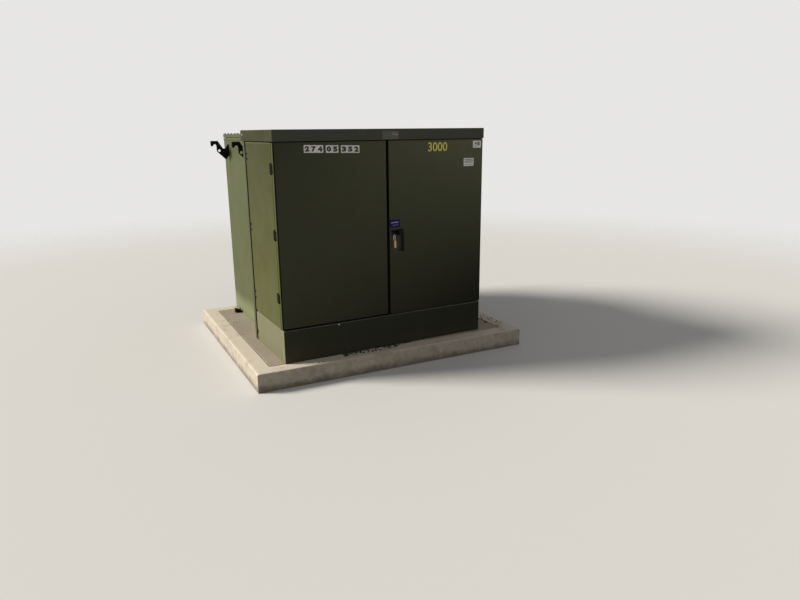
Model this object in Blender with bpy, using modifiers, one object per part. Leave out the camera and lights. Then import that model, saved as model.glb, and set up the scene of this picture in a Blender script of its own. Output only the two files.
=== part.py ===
# Pad-mounted three-phase power transformer on its concrete pad.
# Blender 4.5, metres, +Z up. The world origin is the centre of the pad's underside, the doors face -Y.
# Places inside the transformer are measured from the front left bottom corner of its cabinet, on the pad.
import math

import bmesh
import bpy
from mathutils import Matrix, Vector

# Driving sizes of the cabinet, the tank and the pad
cabinet_width = 1.829
cabinet_height = 1.771
cabinet_depth = 0.745
sill_height = 0.267
hood_lip = 0.084
tank_inset = 0.127
tank_rear = 1.930
cover_top = 1.741
cover_thickness = 0.032
cover_lip = 0.002
handhole_left = 0.600
handhole_front = 1.100
handhole_length = 0.500
handhole_depth = 0.320
radiator_depth = 0.450
radiator_top = 1.462
pad_length = 2.423
pad_depth = 2.096
pad_height = 0.150
pad_edge_round = 0.015
pad_turn = math.radians(-1.5)
pad_left_margin = 0.232
pad_front_margin = 0.145

# Stock thicknesses, clearances and fineness shared by many pieces
sheet = 0.003
plate = 0.012
seat = 0.0003
door_gap = 0.005
centre_gap = 0.010
overrun = 0.010
weld_distance = 0.00003
fillet_steps = 2
round_profile_share = 0.5
rounded_angle = math.radians(40)
upright_angle = math.radians(80)

# Sheet returns of the cabinet
door_return = 0.057
jamb_gap = 0.007
jamb_flange = 0.027
rear_flange = 0.038
plate_lip = 0.038
bend_radius = 0.005
hood_overhang = 0.008
hood_rear_overlap = 0.073
stiffener_rise = 0.040
stiffener_width = 0.075
stiffener_depth = 0.019

# Hinges
hinge_inset = 0.007
hinge_back = 0.077
knuckle_radius = 0.0065
pin_radius = 0.0030
pin_clearance = 0.0004
knuckle_height = 0.030
end_knuckle_height = 0.020
knuckle_play = 0.0005
knuckle_clearance = 0.0010
leaf_height = 0.072
leaf_reach = 0.070
leaf_front_margin = 0.006
notch_height = 0.087
notch_rear = 0.099
hinge_heights = (0.512, 1.000, 1.490)
knuckle_sides = 16

# Handle pocket, handle and padlock in the right door
pocket_margin = 0.0295
pocket_bottom = 0.792
pocket_width = 0.112
pocket_height = 0.186
pocket_depth = 0.046
pocket_wall = 0.0025
handle_across = 0.084
handle_drop = 0.030
handle_hub_radius = 0.021
handle_hub_clearance = 0.0006
handle_shaft_radius = 0.008
handle_shaft_clearance = 0.0006
handle_arm_width = 0.010
handle_arm_length = 0.150
handle_arm_depth = 0.016
handle_standoff = 0.008
cam_length = 0.070
cam_width = 0.030
cam_plate = 0.005
cam_clearance = 0.0195
cam_seat = 0.00045
staple_across = 0.037
staple_width = 0.026
staple_height = 0.034
staple_depth = 0.032
staple_hole = 0.006
staple_hole_rise = 0.0096
lock_width = 0.040
lock_thickness = 0.015
lock_height = 0.058
shackle_radius = 0.0034
shackle_span = 0.026
shackle_leg = 0.038
shackle_socket = 0.010

# Lifting hooks and hold-down cleats
hook_thickness = 0.019
hook_reach = 0.168
hook_top = 1.679
hook_foot = 1.505
hook_places = (0.988, 1.759)
hook_hole_radius = 0.013
hook_hole_share = (0.538, 0.521)
hook_root_shares = ((0.215, 0.985), (0.190, 1), (0.165, 0.985), (0, 0.77), (0, 0.20), (0.03, 0.175),
                    (0.07, 0.205))
hook_saddle_shares = (0.262, 0.305, 0.110)
hook_saddle_turn = (math.radians(211), math.radians(325))
hook_saddle_steps = 6
hook_horn_shares = ((0.600, 0.012), (0.625, 0), (0.985, 0), (1, 0.02), (1, 0.21), (0.975, 0.275),
                    (0.940, 0.302), (0.905, 0.280))
hook_throat_shares = (0.771, 0.264, 0.086)
hook_throat_turn = (math.radians(30), math.radians(190))
hook_throat_steps = 8
hook_elbow_shares = ((0.677, 0.351), (0.677, 0.493), (0.668, 0.545), (0.645, 0.585))
cleat_reach = 0.071
cleat_width = 0.050
cleat_height = 0.014
cleat_flat = 0.040
cleat_crest = 0.012
cleat_toe = 0.044
cleat_places = (0.870, 1.702)

# Radiator bank behind the tank
radiator_count = 3
fins_per_radiator = 8
bank_inset = 0.120
bank_gap = 0.040
fin_foot = 0.220
fin_inner = 0.080
flute_count = 3
flute_half = 0.009
web_half = 0.003
fin_end_taper = 0.045
fin_seam_share = 0.12
fin_slope_share = 0.10
header_radius = 0.036
header_back = 0.070
header_drop = 0.110
stub_radius = 0.030
stub_sides = 12
stub_inset = 0.090

# Compartment, with the shares of one compartment's width at which its fittings stand
barrier_top = 1.700
stop_flange = 0.039
window_left = 0.150
window_front = 0.120
window_depth = 0.480
hv_bushing_height = 1.130
hv_bushing_radius = 0.062
hv_bushing_length = 0.150
hv_place_shares = (0.235, 0.500, 0.765)
hv_bushing_shares = ((0, 1), (0.32, 1), (0.48, 0.47), (0.73, 0.37), (0.73, 0.11), (1, 0.11), (1, 0), (0, 0))
lv_bushing_height = 1.180
lv_bushing_step = 0.110
lv_bushing_radius = 0.060
lv_bushing_length = 0.120
lv_place_shares = (0.175, 0.389, 0.602, 0.815)
lv_bushing_shares = ((0, 1), (0.37, 1), (0.37, 0.79), (0.67, 0.75), (0.67, 0.67), (0.5, 0.63), (0.5, 0.46),
                     (0.73, 0.42), (0.73, 0.33), (0.57, 0.29), (0.57, 0.12), (1, 0.12), (1, 0), (0, 0))
spade_width = 0.090
spade_length = 0.110
spade_plate = 0.014
gauge_radius = 0.056
gauge_length = 0.045
gauge_rise = 0.230
gauge_place_share = 0.280
gauge_shares = ((0, 1), (0.9, 1), (1, 0.78), (1, 0.22), (0.79, 0), (0, 0))
valve_radius = 0.042
valve_length = 0.110
valve_height = 0.330
valve_place_share = 0.793
valve_shares = ((0, 1), (0.71, 1), (0.71, 0.86), (0.29, 0.82), (0.29, 0.55), (0.81, 0.5), (0.81, 0.09),
                (1, 0.09), (1, 0), (0, 0))
tap_radius = 0.038
tap_length = 0.060
tap_rise = 0.350
tap_place_share = 0.500
tap_shares = ((0, 1), (1, 0.92), (1, 0.42), (0.42, 0.33), (0.42, 0), (0, 0))
fitting_sides = 20

# Colours in linear light, with roughness and metallic value
finish_of = {
    "green_paint": ((0.055, 0.066, 0.036, 1.0), 0.45, 0.0),
    "black_paint": ((0.008, 0.008, 0.008, 1.0), 0.50, 0.0),
    "concrete": ((0.420, 0.370, 0.300, 1.0), 0.90, 0.0),
    "bare_steel": ((0.450, 0.450, 0.440, 1.0), 0.40, 1.0),
    "brass": ((0.560, 0.380, 0.200, 1.0), 0.40, 1.0),
    "grey_epoxy": ((0.180, 0.180, 0.185, 1.0), 0.45, 0.0),
    "black_rubber": ((0.012, 0.012, 0.012, 1.0), 0.65, 0.0),
}

for old in list(bpy.data.objects):
    bpy.data.objects.remove(old, do_unlink=True)

parts = bpy.data.collections.new("power_transformer")
bpy.context.scene.collection.children.link(parts)
cutters = bpy.data.collections.new("cutters")
bpy.context.scene.collection.children.link(cutters)


def make_material(name):
    colour, roughness, metallic = finish_of[name]
    material = bpy.data.materials.new(name)
    material.use_nodes = True
    shader = material.node_tree.nodes["Principled BSDF"]
    shader.inputs["Base Color"].default_value = colour
    shader.inputs["Roughness"].default_value = roughness
    shader.inputs["Metallic"].default_value = metallic
    material.diffuse_color = colour
    return material


materials = {name: make_material(name) for name in finish_of}


def make_empty(name, place, parent=None):
    empty = bpy.data.objects.new(name, None)
    empty.location = place
    empty.parent = parent
    parts.objects.link(empty)
    return empty


# The transformer stands on the pad, so its corner is set out from the pad's own centre
corner = make_empty("transformer_corner", (-pad_length / 2 + pad_left_margin,
                                           -pad_depth / 2 + pad_front_margin, pad_height))
mid_door = cabinet_width / 2
hinge_pins = {
    "left": make_empty("door_left_axis", (hinge_inset, hinge_back, 0), corner),
    "right": make_empty("door_right_axis", (cabinet_width - hinge_inset, hinge_back, 0), corner),
}
pocket_left = mid_door + pocket_margin
handle_x = pocket_left + handle_across
handle_z = pocket_bottom + pocket_height - handle_drop
handle_axis = make_empty("handle_axis", (handle_x - (cabinet_width - hinge_inset), -hinge_back, handle_z),
                         hinge_pins["right"])


def carrier_place(carrier):
    place = Vector((0, 0, 0))
    while carrier is not None and carrier is not corner:
        place += carrier.location
        carrier = carrier.parent
    return place


def finish(thing, name, material, carrier):
    # Names a piece, colours it and hangs it and its cutters on its carrier without moving them
    thing.name = name
    thing.data.name = name
    thing.data.materials.clear()
    thing.data.materials.append(materials[material])
    for home in list(thing.users_collection):
        home.objects.unlink(thing)
    parts.objects.link(thing)
    shapes = [step.object for step in thing.modifiers if step.type == "BOOLEAN"]
    for hung in [thing] + shapes:
        hung.parent = carrier
        hung.location = hung.location - carrier_place(carrier)
    return thing


def bake_scale(thing):
    scale = Matrix.Diagonal(thing.scale.to_4d())
    thing.data.transform(scale)
    thing.scale = (1, 1, 1)
    return thing


def raw_box(low, high):
    low, high = Vector(low), Vector(high)
    bpy.ops.mesh.primitive_cube_add(size=1, location=(low + high) / 2)
    thing = bpy.context.object
    thing.scale = high - low
    return bake_scale(thing)


def raw_cylinder(radius, start, end, sides=knuckle_sides):
    start, end = Vector(start), Vector(end)
    run = end - start
    bpy.ops.mesh.primitive_cylinder_add(vertices=sides, radius=radius, depth=run.length,
                                        location=(start + end) / 2)
    thing = bpy.context.object
    thing.data.transform(run.to_track_quat("Z", "Y").to_matrix().to_4x4())
    return thing


def bevel(thing, width, angle=rounded_angle):
    rounding = thing.modifiers.new("rounded edges", "BEVEL")
    rounding.width = width
    rounding.segments = fillet_steps
    rounding.limit_method = "ANGLE"
    rounding.angle_limit = angle
    return thing


def cut(thing, cutter, operation="DIFFERENCE"):
    # The cutter stays as a wire guide beside the piece that it shapes
    for home in list(cutter.users_collection):
        home.objects.unlink(cutter)
    cutters.objects.link(cutter)
    cutter.hide_render = True
    cutter.display_type = "WIRE"
    cutter.name = "shape_" + cutter.name
    step = thing.modifiers.new(operation.lower(), "BOOLEAN")
    step.operation = operation
    step.solver = "EXACT"
    step.object = cutter
    return thing


def mesh_from_curve(thing):
    # Curve caps are loose, so they are welded on a plain mesh copy
    bpy.context.view_layer.update()
    graph = bpy.context.evaluated_depsgraph_get()
    mesh = bpy.data.meshes.new_from_object(thing.evaluated_get(graph))
    solid = bmesh.new()
    solid.from_mesh(mesh)
    bmesh.ops.remove_doubles(solid, verts=solid.verts, dist=weld_distance)
    bmesh.ops.recalc_face_normals(solid, faces=solid.faces)
    solid.to_mesh(mesh)
    solid.free()
    body = bpy.data.objects.new(thing.name, mesh)
    body.matrix_world = thing.matrix_world.copy()
    parts.objects.link(body)
    bpy.data.objects.remove(thing, do_unlink=True)
    return body


def flat_plate(outlines, thickness, place, turn=Matrix.Identity(4)):
    # A flat outline, with its holes, drawn in XY as a filled curve and extruded both ways
    curve = bpy.data.curves.new("outline", "CURVE")
    curve.dimensions = "2D"
    curve.fill_mode = "BOTH"
    curve.extrude = thickness / 2
    for outline in outlines:
        spline = curve.splines.new("POLY")
        spline.points.add(len(outline) - 1)
        for point, (across, along) in zip(spline.points, outline):
            point.co = (across, along, 0, 1)
        spline.use_cyclic_u = True
    drawn = bpy.data.objects.new("outline", curve)
    bpy.context.scene.collection.objects.link(drawn)
    body = mesh_from_curve(drawn)
    body.data.transform(turn)
    body.location = place
    return body


def arc(centre, radius, start, end, steps):
    return [(centre[0] + radius * math.cos(start + (end - start) * step / steps),
             centre[1] + radius * math.sin(start + (end - start) * step / steps))
            for step in range(steps + 1)]


def ring(centre, radius, sides):
    return arc(centre, radius, 0, math.tau, sides)[:-1]


def turned(profile, sides):
    # A turned piece about Z from its outline, given down the outer side, as (radius, height)
    mesh = bpy.data.meshes.new("profile")
    points = [(radius, 0, height) for radius, height in profile]
    mesh.from_pydata(points, [(n, n + 1) for n in range(len(points) - 1)], [])
    thing = bpy.data.objects.new("profile", mesh)
    bpy.context.scene.collection.objects.link(thing)
    screw = thing.modifiers.new("turned", "SCREW")
    screw.steps = sides
    screw.render_steps = sides
    screw.use_merge_vertices = True
    screw.merge_threshold = weld_distance
    return thing


def facing(thing, place):
    # Turns a piece made about Z so that it points out of the front plate towards the doors
    thing.rotation_euler = (math.radians(90), 0, 0)
    thing.location = place
    return thing


# Which X a measure from the hinge side has on either hand
def hand_x(hand, across):
    return across if hand == "left" else cabinet_width - across


def hand_box(hand, low, high):
    ends = sorted((hand_x(hand, low[0]), hand_x(hand, high[0])))
    return raw_box((ends[0], low[1], low[2]), (ends[1], high[1], high[2]))


def make_pad():
    low = (-pad_length / 2, -pad_depth / 2, 0)
    high = (pad_length / 2, pad_depth / 2, pad_height)
    pad = raw_box(low, high)
    pad.rotation_euler = (0, 0, pad_turn)
    tooled = bmesh.new()
    tooled.from_mesh(pad.data)
    rim = [edge for edge in tooled.edges if all(vert.co.z > 0 for vert in edge.verts)]
    posts = [edge for edge in tooled.edges if edge.verts[0].co.z * edge.verts[1].co.z < 0]
    bmesh.ops.bevel(tooled, geom=rim + posts, offset=pad_edge_round, segments=fillet_steps, affect="EDGES",
                    profile=round_profile_share, clamp_overlap=True)
    tooled.to_mesh(pad.data)
    tooled.free()
    window = raw_box((window_left, window_front, -pad_height - overrun),
                     (cabinet_width - window_left, window_front + window_depth, overrun))
    window.location += corner.location
    finish(cut(pad, window), "pad", "concrete", None)


front_plate_front = cabinet_depth + seat
tank_front = front_plate_front + plate + seat
hood_rear = cabinet_depth + hood_rear_overlap
hood_bottom = cabinet_height - hood_lip
hood_underside = cabinet_height - sheet


def make_tank():
    tank = raw_box((tank_inset, tank_front, seat),
                   (cabinet_width - tank_inset, tank_rear, cover_top - cover_thickness - sheet))
    bevel(tank, plate, upright_angle)
    finish(tank, "tank_body", "green_paint", corner)
    gasket_low = cover_top - cover_thickness - sheet + seat
    gasket = raw_box((tank_inset + plate, tank_front, gasket_low),
                     (cabinet_width - tank_inset - plate, tank_rear - plate,
                      cover_top - cover_thickness - seat))
    finish(gasket, "cover_gasket", "black_rubber", corner)
    cover = raw_box((tank_inset - cover_lip, tank_front, cover_top - cover_thickness),
                    (cabinet_width - tank_inset + cover_lip, tank_rear + cover_lip, cover_top))
    finish(bevel(cover, sheet), "tank_cover", "green_paint", corner)
    lid_low = cover_top + seat
    lid = raw_box((handhole_left, handhole_front, lid_low),
                  (handhole_left + handhole_length, handhole_front + handhole_depth, lid_low + plate))
    finish(bevel(lid, sheet), "handhole_cover", "green_paint", corner)


jamb_front = door_return + jamb_gap


def side_outline(hand, inner_front, inner_rear):
    # Plan of a side sheet with an inward flange at its front and rear edge
    front, rear = jamb_front, cabinet_depth
    points = [(0, front), (inner_front, front), (inner_front, front + sheet), (sheet, front + sheet),
              (sheet, rear - sheet), (inner_rear, rear - sheet), (inner_rear, rear), (0, rear)]
    return [(hand_x(hand, across), along) for across, along in points]


def upright_plate(outline, low, high):
    return flat_plate([outline], high - low, (0, 0, (low + high) / 2))


def make_front_plate():
    # The plate between the cabinet and the tank, with a lip back along each upright edge
    front, rear = front_plate_front, front_plate_front + plate
    edge = [(0, front), (0, rear + plate_lip), (sheet, rear + plate_lip), (sheet, rear)]
    outline = [(hand_x("left", across), along) for across, along in edge]
    outline += [(hand_x("right", across), along) for across, along in reversed(edge)]
    wall = upright_plate(outline, seat, hood_underside - seat)
    finish(wall, "tank_front_plate", "green_paint", corner)


def make_side(hand):
    low, high = sill_height + seat, hood_underside - seat
    side = upright_plate(side_outline(hand, jamb_flange, rear_flange), low, high)
    for height in hinge_heights:
        notch = hand_box(hand, (-overrun, jamb_front - overrun, height - notch_height / 2),
                         (jamb_flange + overrun, notch_rear, height + notch_height / 2))
        cut(side, notch)
    finish(side, "side_" + hand, "green_paint", corner)
    foot = upright_plate(side_outline(hand, jamb_flange, rear_flange), seat, sill_height)
    finish(foot, "sill_" + hand, "green_paint", corner)


def folded(shell, open_side):
    # A sheet folded from a box that is open on one side, with its bends rounded
    mesh = bmesh.new()
    mesh.from_mesh(shell.data)
    missing = [face for face in mesh.faces if round(face.normal.dot(open_side)) > 0]
    rim = {edge for face in missing for edge in face.edges}
    bmesh.ops.delete(mesh, geom=missing, context="FACES_ONLY")
    bends = [edge for edge in mesh.edges if edge not in rim]
    bmesh.ops.bevel(mesh, geom=bends, offset=bend_radius, segments=fillet_steps, affect="EDGES",
                    profile=round_profile_share)
    mesh.to_mesh(shell.data)
    mesh.free()
    wall = shell.modifiers.new("sheet", "SOLIDIFY")
    wall.thickness = sheet
    wall.offset = -1
    wall.use_even_offset = True
    return shell


def pan(low, high, depth):
    return folded(raw_box((low[0], 0, low[1]), (high[0], depth, high[1])), Vector((0, 1, 0)))


def make_sill():
    sill = pan((0, seat), (cabinet_width, sill_height), jamb_front - seat)
    finish(sill, "sill_front", "green_paint", corner)


def make_hood():
    low = (-hood_overhang, -hood_overhang, hood_bottom)
    high = (cabinet_width + hood_overhang, hood_rear, cabinet_height)
    hood = folded(raw_box(low, high), Vector((0, 0, -1)))
    # The rear lip stops on the tank cover, so the cover runs on under the hood
    relief = raw_box((low[0] + sheet, tank_front, low[2] - overrun),
                     (high[0] - sheet, hood_rear + overrun, cover_top + seat))
    cut(hood, relief)
    finish(hood, "hood", "green_paint", corner)


door_low = sill_height + door_gap
door_high = hood_bottom - door_gap
door_span = mid_door - centre_gap / 2


def make_door(hand):
    ends = sorted((hand_x(hand, 0), hand_x(hand, door_span)))
    door = pan((ends[0], door_low), (ends[1], door_high), door_return)
    if hand == "right":
        mouth = raw_box((pocket_left, -overrun, pocket_bottom),
                        (pocket_left + pocket_width, sheet + overrun / 2, pocket_bottom + pocket_height))
        cut(door, mouth)
    finish(door, "door_" + hand, "green_paint", hinge_pins[hand])


def make_stiffener(hand):
    # A hat channel across the inside of each door, above the handle pocket
    depth = stiffener_depth
    brim, crown = depth, depth + stiffener_width
    profile = [(0, 0), (brim, 0), (brim, depth - sheet), (crown, depth - sheet), (crown, 0),
               (crown + brim, 0), (crown + brim, sheet), (crown + sheet, sheet), (crown + sheet, depth),
               (brim - sheet, depth), (brim - sheet, sheet), (0, sheet)]
    turn = Matrix(((0, 0, 1, 0), (0, 1, 0, 0), (-1, 0, 0, 0), (0, 0, 0, 1)))
    first, last = sorted((hand_x(hand, leaf_front_margin + sheet + plate),
                          hand_x(hand, door_span - bend_radius - seat)))
    top = pocket_bottom + pocket_height + stiffener_rise + crown + brim
    rib = flat_plate([profile], last - first, ((first + last) / 2, sheet + seat, top), turn)
    finish(rib, "door_" + hand + "_stiffener", "green_paint", hinge_pins[hand])


def make_hinges(hand):
    axis_x = hand_x(hand, hinge_inset)
    leaf_near, leaf_far = sheet + seat, 2 * sheet + seat
    bore_radius = pin_radius + pin_clearance
    weld_depth = (knuckle_radius + bore_radius) / 2
    turning = knuckle_height / 2 + knuckle_play
    for count, height in enumerate(hinge_heights, 1):
        name = "hinge_" + hand + "_" + str(count)
        # The jamb half: a leaf that steps back beside the door's knuckle, two knuckles and the pin
        jamb_leaf = hand_box(hand, (leaf_near, hinge_back + weld_depth, height - leaf_height / 2),
                             (leaf_far, hinge_back + leaf_reach, height + leaf_height / 2))
        cut(jamb_leaf, hand_box(hand, (-overrun, hinge_back, height - turning),
                                (leaf_far + overrun, hinge_back + knuckle_radius + knuckle_clearance,
                                 height + turning)))
        for low in (height - turning - end_knuckle_height, height + turning):
            knuckle = raw_cylinder(knuckle_radius, (axis_x, hinge_back, low),
                                   (axis_x, hinge_back, low + end_knuckle_height))
            cut(jamb_leaf, knuckle, "UNION")
        pin_half = turning + end_knuckle_height / 2
        pin = raw_cylinder(pin_radius, (axis_x, hinge_back, height - pin_half),
                           (axis_x, hinge_back, height + pin_half))
        cut(jamb_leaf, pin, "UNION")
        finish(jamb_leaf, name + "_jamb", "black_paint", corner)

        # The door half: one knuckle between the others, and the leaf inside the door's return
        door_leaf = hand_box(hand, (leaf_near, leaf_front_margin, height - leaf_height / 2),
                             (leaf_far, door_return + leaf_front_margin, height + leaf_height / 2))
        neck = hand_box(hand, (leaf_near, door_return, height - knuckle_height / 2),
                        (leaf_far, hinge_back - weld_depth, height + knuckle_height / 2))
        cut(door_leaf, neck, "UNION")
        barrel = raw_cylinder(knuckle_radius, (axis_x, hinge_back, height - knuckle_height / 2),
                              (axis_x, hinge_back, height + knuckle_height / 2))
        cut(door_leaf, barrel, "UNION")
        bore = raw_cylinder(bore_radius, (axis_x, hinge_back, height - knuckle_height),
                            (axis_x, hinge_back, height + knuckle_height))
        cut(door_leaf, bore)
        finish(door_leaf, name + "_door", "black_paint", hinge_pins[hand])


def make_handle_set():
    door = hinge_pins["right"]
    right, top = pocket_left + pocket_width, pocket_bottom + pocket_height
    back = sheet + seat + pocket_depth
    pocket = raw_box((pocket_left - pocket_wall, sheet + seat, pocket_bottom - pocket_wall),
                     (right + pocket_wall, back, top + pocket_wall))
    hollow = raw_box((pocket_left, -overrun, pocket_bottom), (right, back - pocket_wall, top))
    cut(pocket, hollow)
    hole = handle_shaft_radius + handle_shaft_clearance
    passage = raw_cylinder(hole, (handle_x, back - pocket_wall - overrun, handle_z),
                           (handle_x, back + overrun, handle_z))
    cut(pocket, passage)
    finish(pocket, "handle_pocket", "green_paint", door)

    floor = back - pocket_wall
    hub_back = floor - handle_hub_clearance
    hub_front = seat - handle_standoff - handle_arm_depth
    cam_front = back + cam_clearance
    shaft_end = cam_front + cam_plate
    hub = turned([(0, -hub_front), (handle_hub_radius, -hub_front), (handle_hub_radius, -hub_back),
                  (handle_shaft_radius, -hub_back), (handle_shaft_radius, -shaft_end), (0, -shaft_end)],
                 knuckle_sides)
    facing(hub, (handle_x, 0, handle_z))
    arm_left = handle_x + handle_hub_radius - handle_arm_width
    arm = raw_box((arm_left, -handle_standoff - handle_arm_depth, handle_z - handle_arm_length),
                  (arm_left + handle_arm_width, -handle_standoff, handle_z + handle_hub_radius / 2))
    cut(hub, arm, "UNION")
    finish(hub, "handle", "black_paint", handle_axis)

    cam = raw_box((handle_x - cam_length, cam_front, handle_z - cam_width / 2),
                  (handle_x + cam_width / 2, cam_front + cam_plate, handle_z + cam_width / 2))
    eye = raw_cylinder(handle_shaft_radius + cam_seat, (handle_x, cam_front - overrun, handle_z),
                       (handle_x, cam_front + cam_plate + overrun, handle_z))
    cut(cam, eye)
    finish(cam, "latch_cam", "bare_steel", handle_axis)

    # The staple is bent from flat bar: a foot on the pocket's floor, a web and the eye that the lock hangs in
    staple_x = pocket_left + staple_across
    tab_back = floor - staple_depth + sheet
    staple_low = handle_z - staple_height / 2
    staple_high = handle_z + staple_height / 2
    eye_tab = raw_box((staple_x - staple_width / 2, floor - staple_depth, staple_low),
                      (staple_x + staple_width / 2, tab_back, staple_high))
    web = raw_box((staple_x - staple_width / 2, floor - staple_depth, staple_high - sheet),
                  (staple_x + staple_width / 2, floor - seat, staple_high))
    cut(eye_tab, web, "UNION")
    hole_z = staple_low + staple_hole_rise
    bore = raw_cylinder(staple_hole, (staple_x, floor - staple_depth - overrun, hole_z),
                        (staple_x, tab_back + overrun / 2, hole_z))
    cut(eye_tab, bore)
    finish(eye_tab, "lock_staple", "black_paint", door)
    make_padlock(door, staple_x, floor - staple_depth + sheet / 2, hole_z)


def make_padlock(door, staple_x, tab_middle, hole_z):
    bend = shackle_span / 2
    inner = bend - shackle_radius
    sag = inner - math.sqrt(inner ** 2 - (sheet / 2) ** 2)
    bend_z = hole_z - staple_hole - (inner - sag) + seat
    body_top = bend_z - shackle_leg
    route = [(tab_middle - bend, body_top - shackle_socket)]
    route += [(tab_middle + across, height) for across, height in
              arc((0, bend_z), bend, math.pi, 0, knuckle_sides // 2)]
    route += [(tab_middle + bend, body_top - shackle_socket)]
    curve = bpy.data.curves.new("shackle", "CURVE")
    curve.dimensions = "3D"
    curve.bevel_depth = shackle_radius
    curve.bevel_resolution = fillet_steps
    curve.use_fill_caps = True
    spline = curve.splines.new("POLY")
    spline.points.add(len(route) - 1)
    for point, (along, height) in zip(spline.points, route):
        point.co = (0, along, height, 1)
    drawn = bpy.data.objects.new("shackle", curve)
    bpy.context.scene.collection.objects.link(drawn)
    shackle = mesh_from_curve(drawn)
    shackle.location = (staple_x, 0, 0)
    finish(shackle, "padlock_shackle", "bare_steel", door)

    body = raw_box((staple_x - lock_thickness / 2, tab_middle - lock_width / 2, body_top - lock_height),
                   (staple_x + lock_thickness / 2, tab_middle + lock_width / 2, body_top))
    for leg in (tab_middle - bend, tab_middle + bend):
        socket_hole = raw_cylinder(shackle_radius + seat, (staple_x, leg, body_top - shackle_socket - seat),
                                   (staple_x, leg, body_top + overrun))
        cut(body, socket_hole)
    finish(body, "padlock_body", "brass", door)


def hook_point(across_share, down_share):
    return hook_reach * across_share, hook_top - (hook_top - hook_foot) * down_share


def hook_outline():
    # Seen from the front, as distance out from the tank wall and height
    tall = hook_top - hook_foot
    saddle_across, saddle_down, saddle_size = hook_saddle_shares
    throat_across, throat_down, throat_size = hook_throat_shares
    points = [(max(across, seat), height) for across, height in
              (hook_point(*shares) for shares in hook_root_shares)]
    points += arc(hook_point(saddle_across, saddle_down), tall * saddle_size, *hook_saddle_turn,
                  hook_saddle_steps)
    points += [hook_point(*shares) for shares in hook_horn_shares]
    points += arc(hook_point(throat_across, throat_down), tall * throat_size, *hook_throat_turn,
                  hook_throat_steps)
    points += [hook_point(*shares) for shares in hook_elbow_shares]
    return points


def make_hooks():
    turn = Matrix.Rotation(math.radians(90), 4, "X")
    eye_across, eye_height = hook_point(*hook_hole_share)
    for hand in ("left", "right"):
        wall = hand_x(hand, tank_inset)
        out = -1 if hand == "left" else 1
        for end, place in zip(("front", "rear"), hook_places):
            outline = [(wall + out * across, height) for across, height in hook_outline()]
            eye = ring((wall + out * eye_across, eye_height), hook_hole_radius, knuckle_sides)
            hook = flat_plate([outline, eye], hook_thickness, (0, place, 0), turn)
            finish(hook, "lifting_hook_" + hand + "_" + end, "black_paint", corner)


def make_cleats():
    turn = Matrix.Rotation(math.radians(90), 4, "X")
    for hand in ("left", "right"):
        wall = hand_x(hand, tank_inset)
        out = -1 if hand == "left" else 1
        for end, place in zip(("front", "rear"), cleat_places):
            points = [(seat, seat), (cleat_reach, seat), (cleat_reach, cleat_toe),
                      (cleat_reach - cleat_crest, cleat_toe), (cleat_flat, cleat_height),
                      (seat, cleat_height)]
            outline = [(wall + out * across, height) for across, height in points]
            cleat = flat_plate([outline], cleat_width, (0, place, 0), turn)
            finish(cleat, "cleat_" + hand + "_" + end, "black_paint", corner)


fin_front = tank_rear + fin_inner
fin_back = tank_rear + radiator_depth


def fin_solid():
    # One pressed fin: flutes along its height, thinning to a flat seam at the top and the foot
    depth = fin_back - fin_front
    pitch = depth / flute_count
    seam, slope = pitch * fin_seam_share, pitch * fin_slope_share
    half = [(0, web_half)]
    for flute in range(flute_count):
        start = flute * pitch
        half += [(start + seam, web_half), (start + seam + slope, flute_half),
                 (start + pitch - seam - slope, flute_half), (start + pitch - seam, web_half)]
    half += [(depth, web_half)]
    outline = [(thick, along) for along, thick in half] + [(-thick, along) for along, thick in reversed(half)]
    height = radiator_top - fin_foot
    solid = bmesh.new()
    rings = []
    for rise, fluted in ((0, False), (fin_end_taper, True), (height - fin_end_taper, True), (height, False)):
        rings.append([solid.verts.new((thick if fluted else math.copysign(web_half, thick), fin_front + along,
                                       fin_foot + rise)) for thick, along in outline])
    for lower, upper in zip(rings, rings[1:]):
        for place in range(len(outline)):
            solid.faces.new((lower[place - 1], lower[place], upper[place], upper[place - 1]))
    solid.faces.new(rings[0])
    solid.faces.new(rings[-1])
    bmesh.ops.recalc_face_normals(solid, faces=solid.faces)
    return solid


def make_radiators():
    bank = cabinet_width - 2 * (tank_inset + bank_inset)
    length = (bank - (radiator_count - 1) * bank_gap) / radiator_count
    pitch = length / fins_per_radiator
    for count in range(radiator_count):
        left = tank_inset + bank_inset + count * (length + bank_gap)
        solid = bmesh.new()
        for fin in range(fins_per_radiator):
            one = fin_solid()
            bmesh.ops.translate(one, verts=one.verts, vec=(left + pitch * fin + pitch / 2, 0, 0))
            spare = bpy.data.meshes.new("fin")
            one.to_mesh(spare)
            one.free()
            solid.from_mesh(spare)
            bpy.data.meshes.remove(spare)
        mesh = bpy.data.meshes.new("fins")
        solid.to_mesh(mesh)
        solid.free()
        radiator = bpy.data.objects.new("fins", mesh)
        bpy.context.scene.collection.objects.link(radiator)
        back = tank_rear + header_back
        for height in (fin_foot + header_drop, radiator_top - header_drop):
            header = raw_cylinder(header_radius, (left, back, height), (left + length, back, height))
            cut(radiator, header, "UNION")
            for place in (left + stub_inset, left + length - stub_inset):
                stub = raw_cylinder(stub_radius, (place, tank_rear + seat, height), (place, back, height),
                                    stub_sides)
                cut(radiator, stub, "UNION")
        finish(radiator, "radiator_" + str(count + 1), "green_paint", corner)


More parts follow.
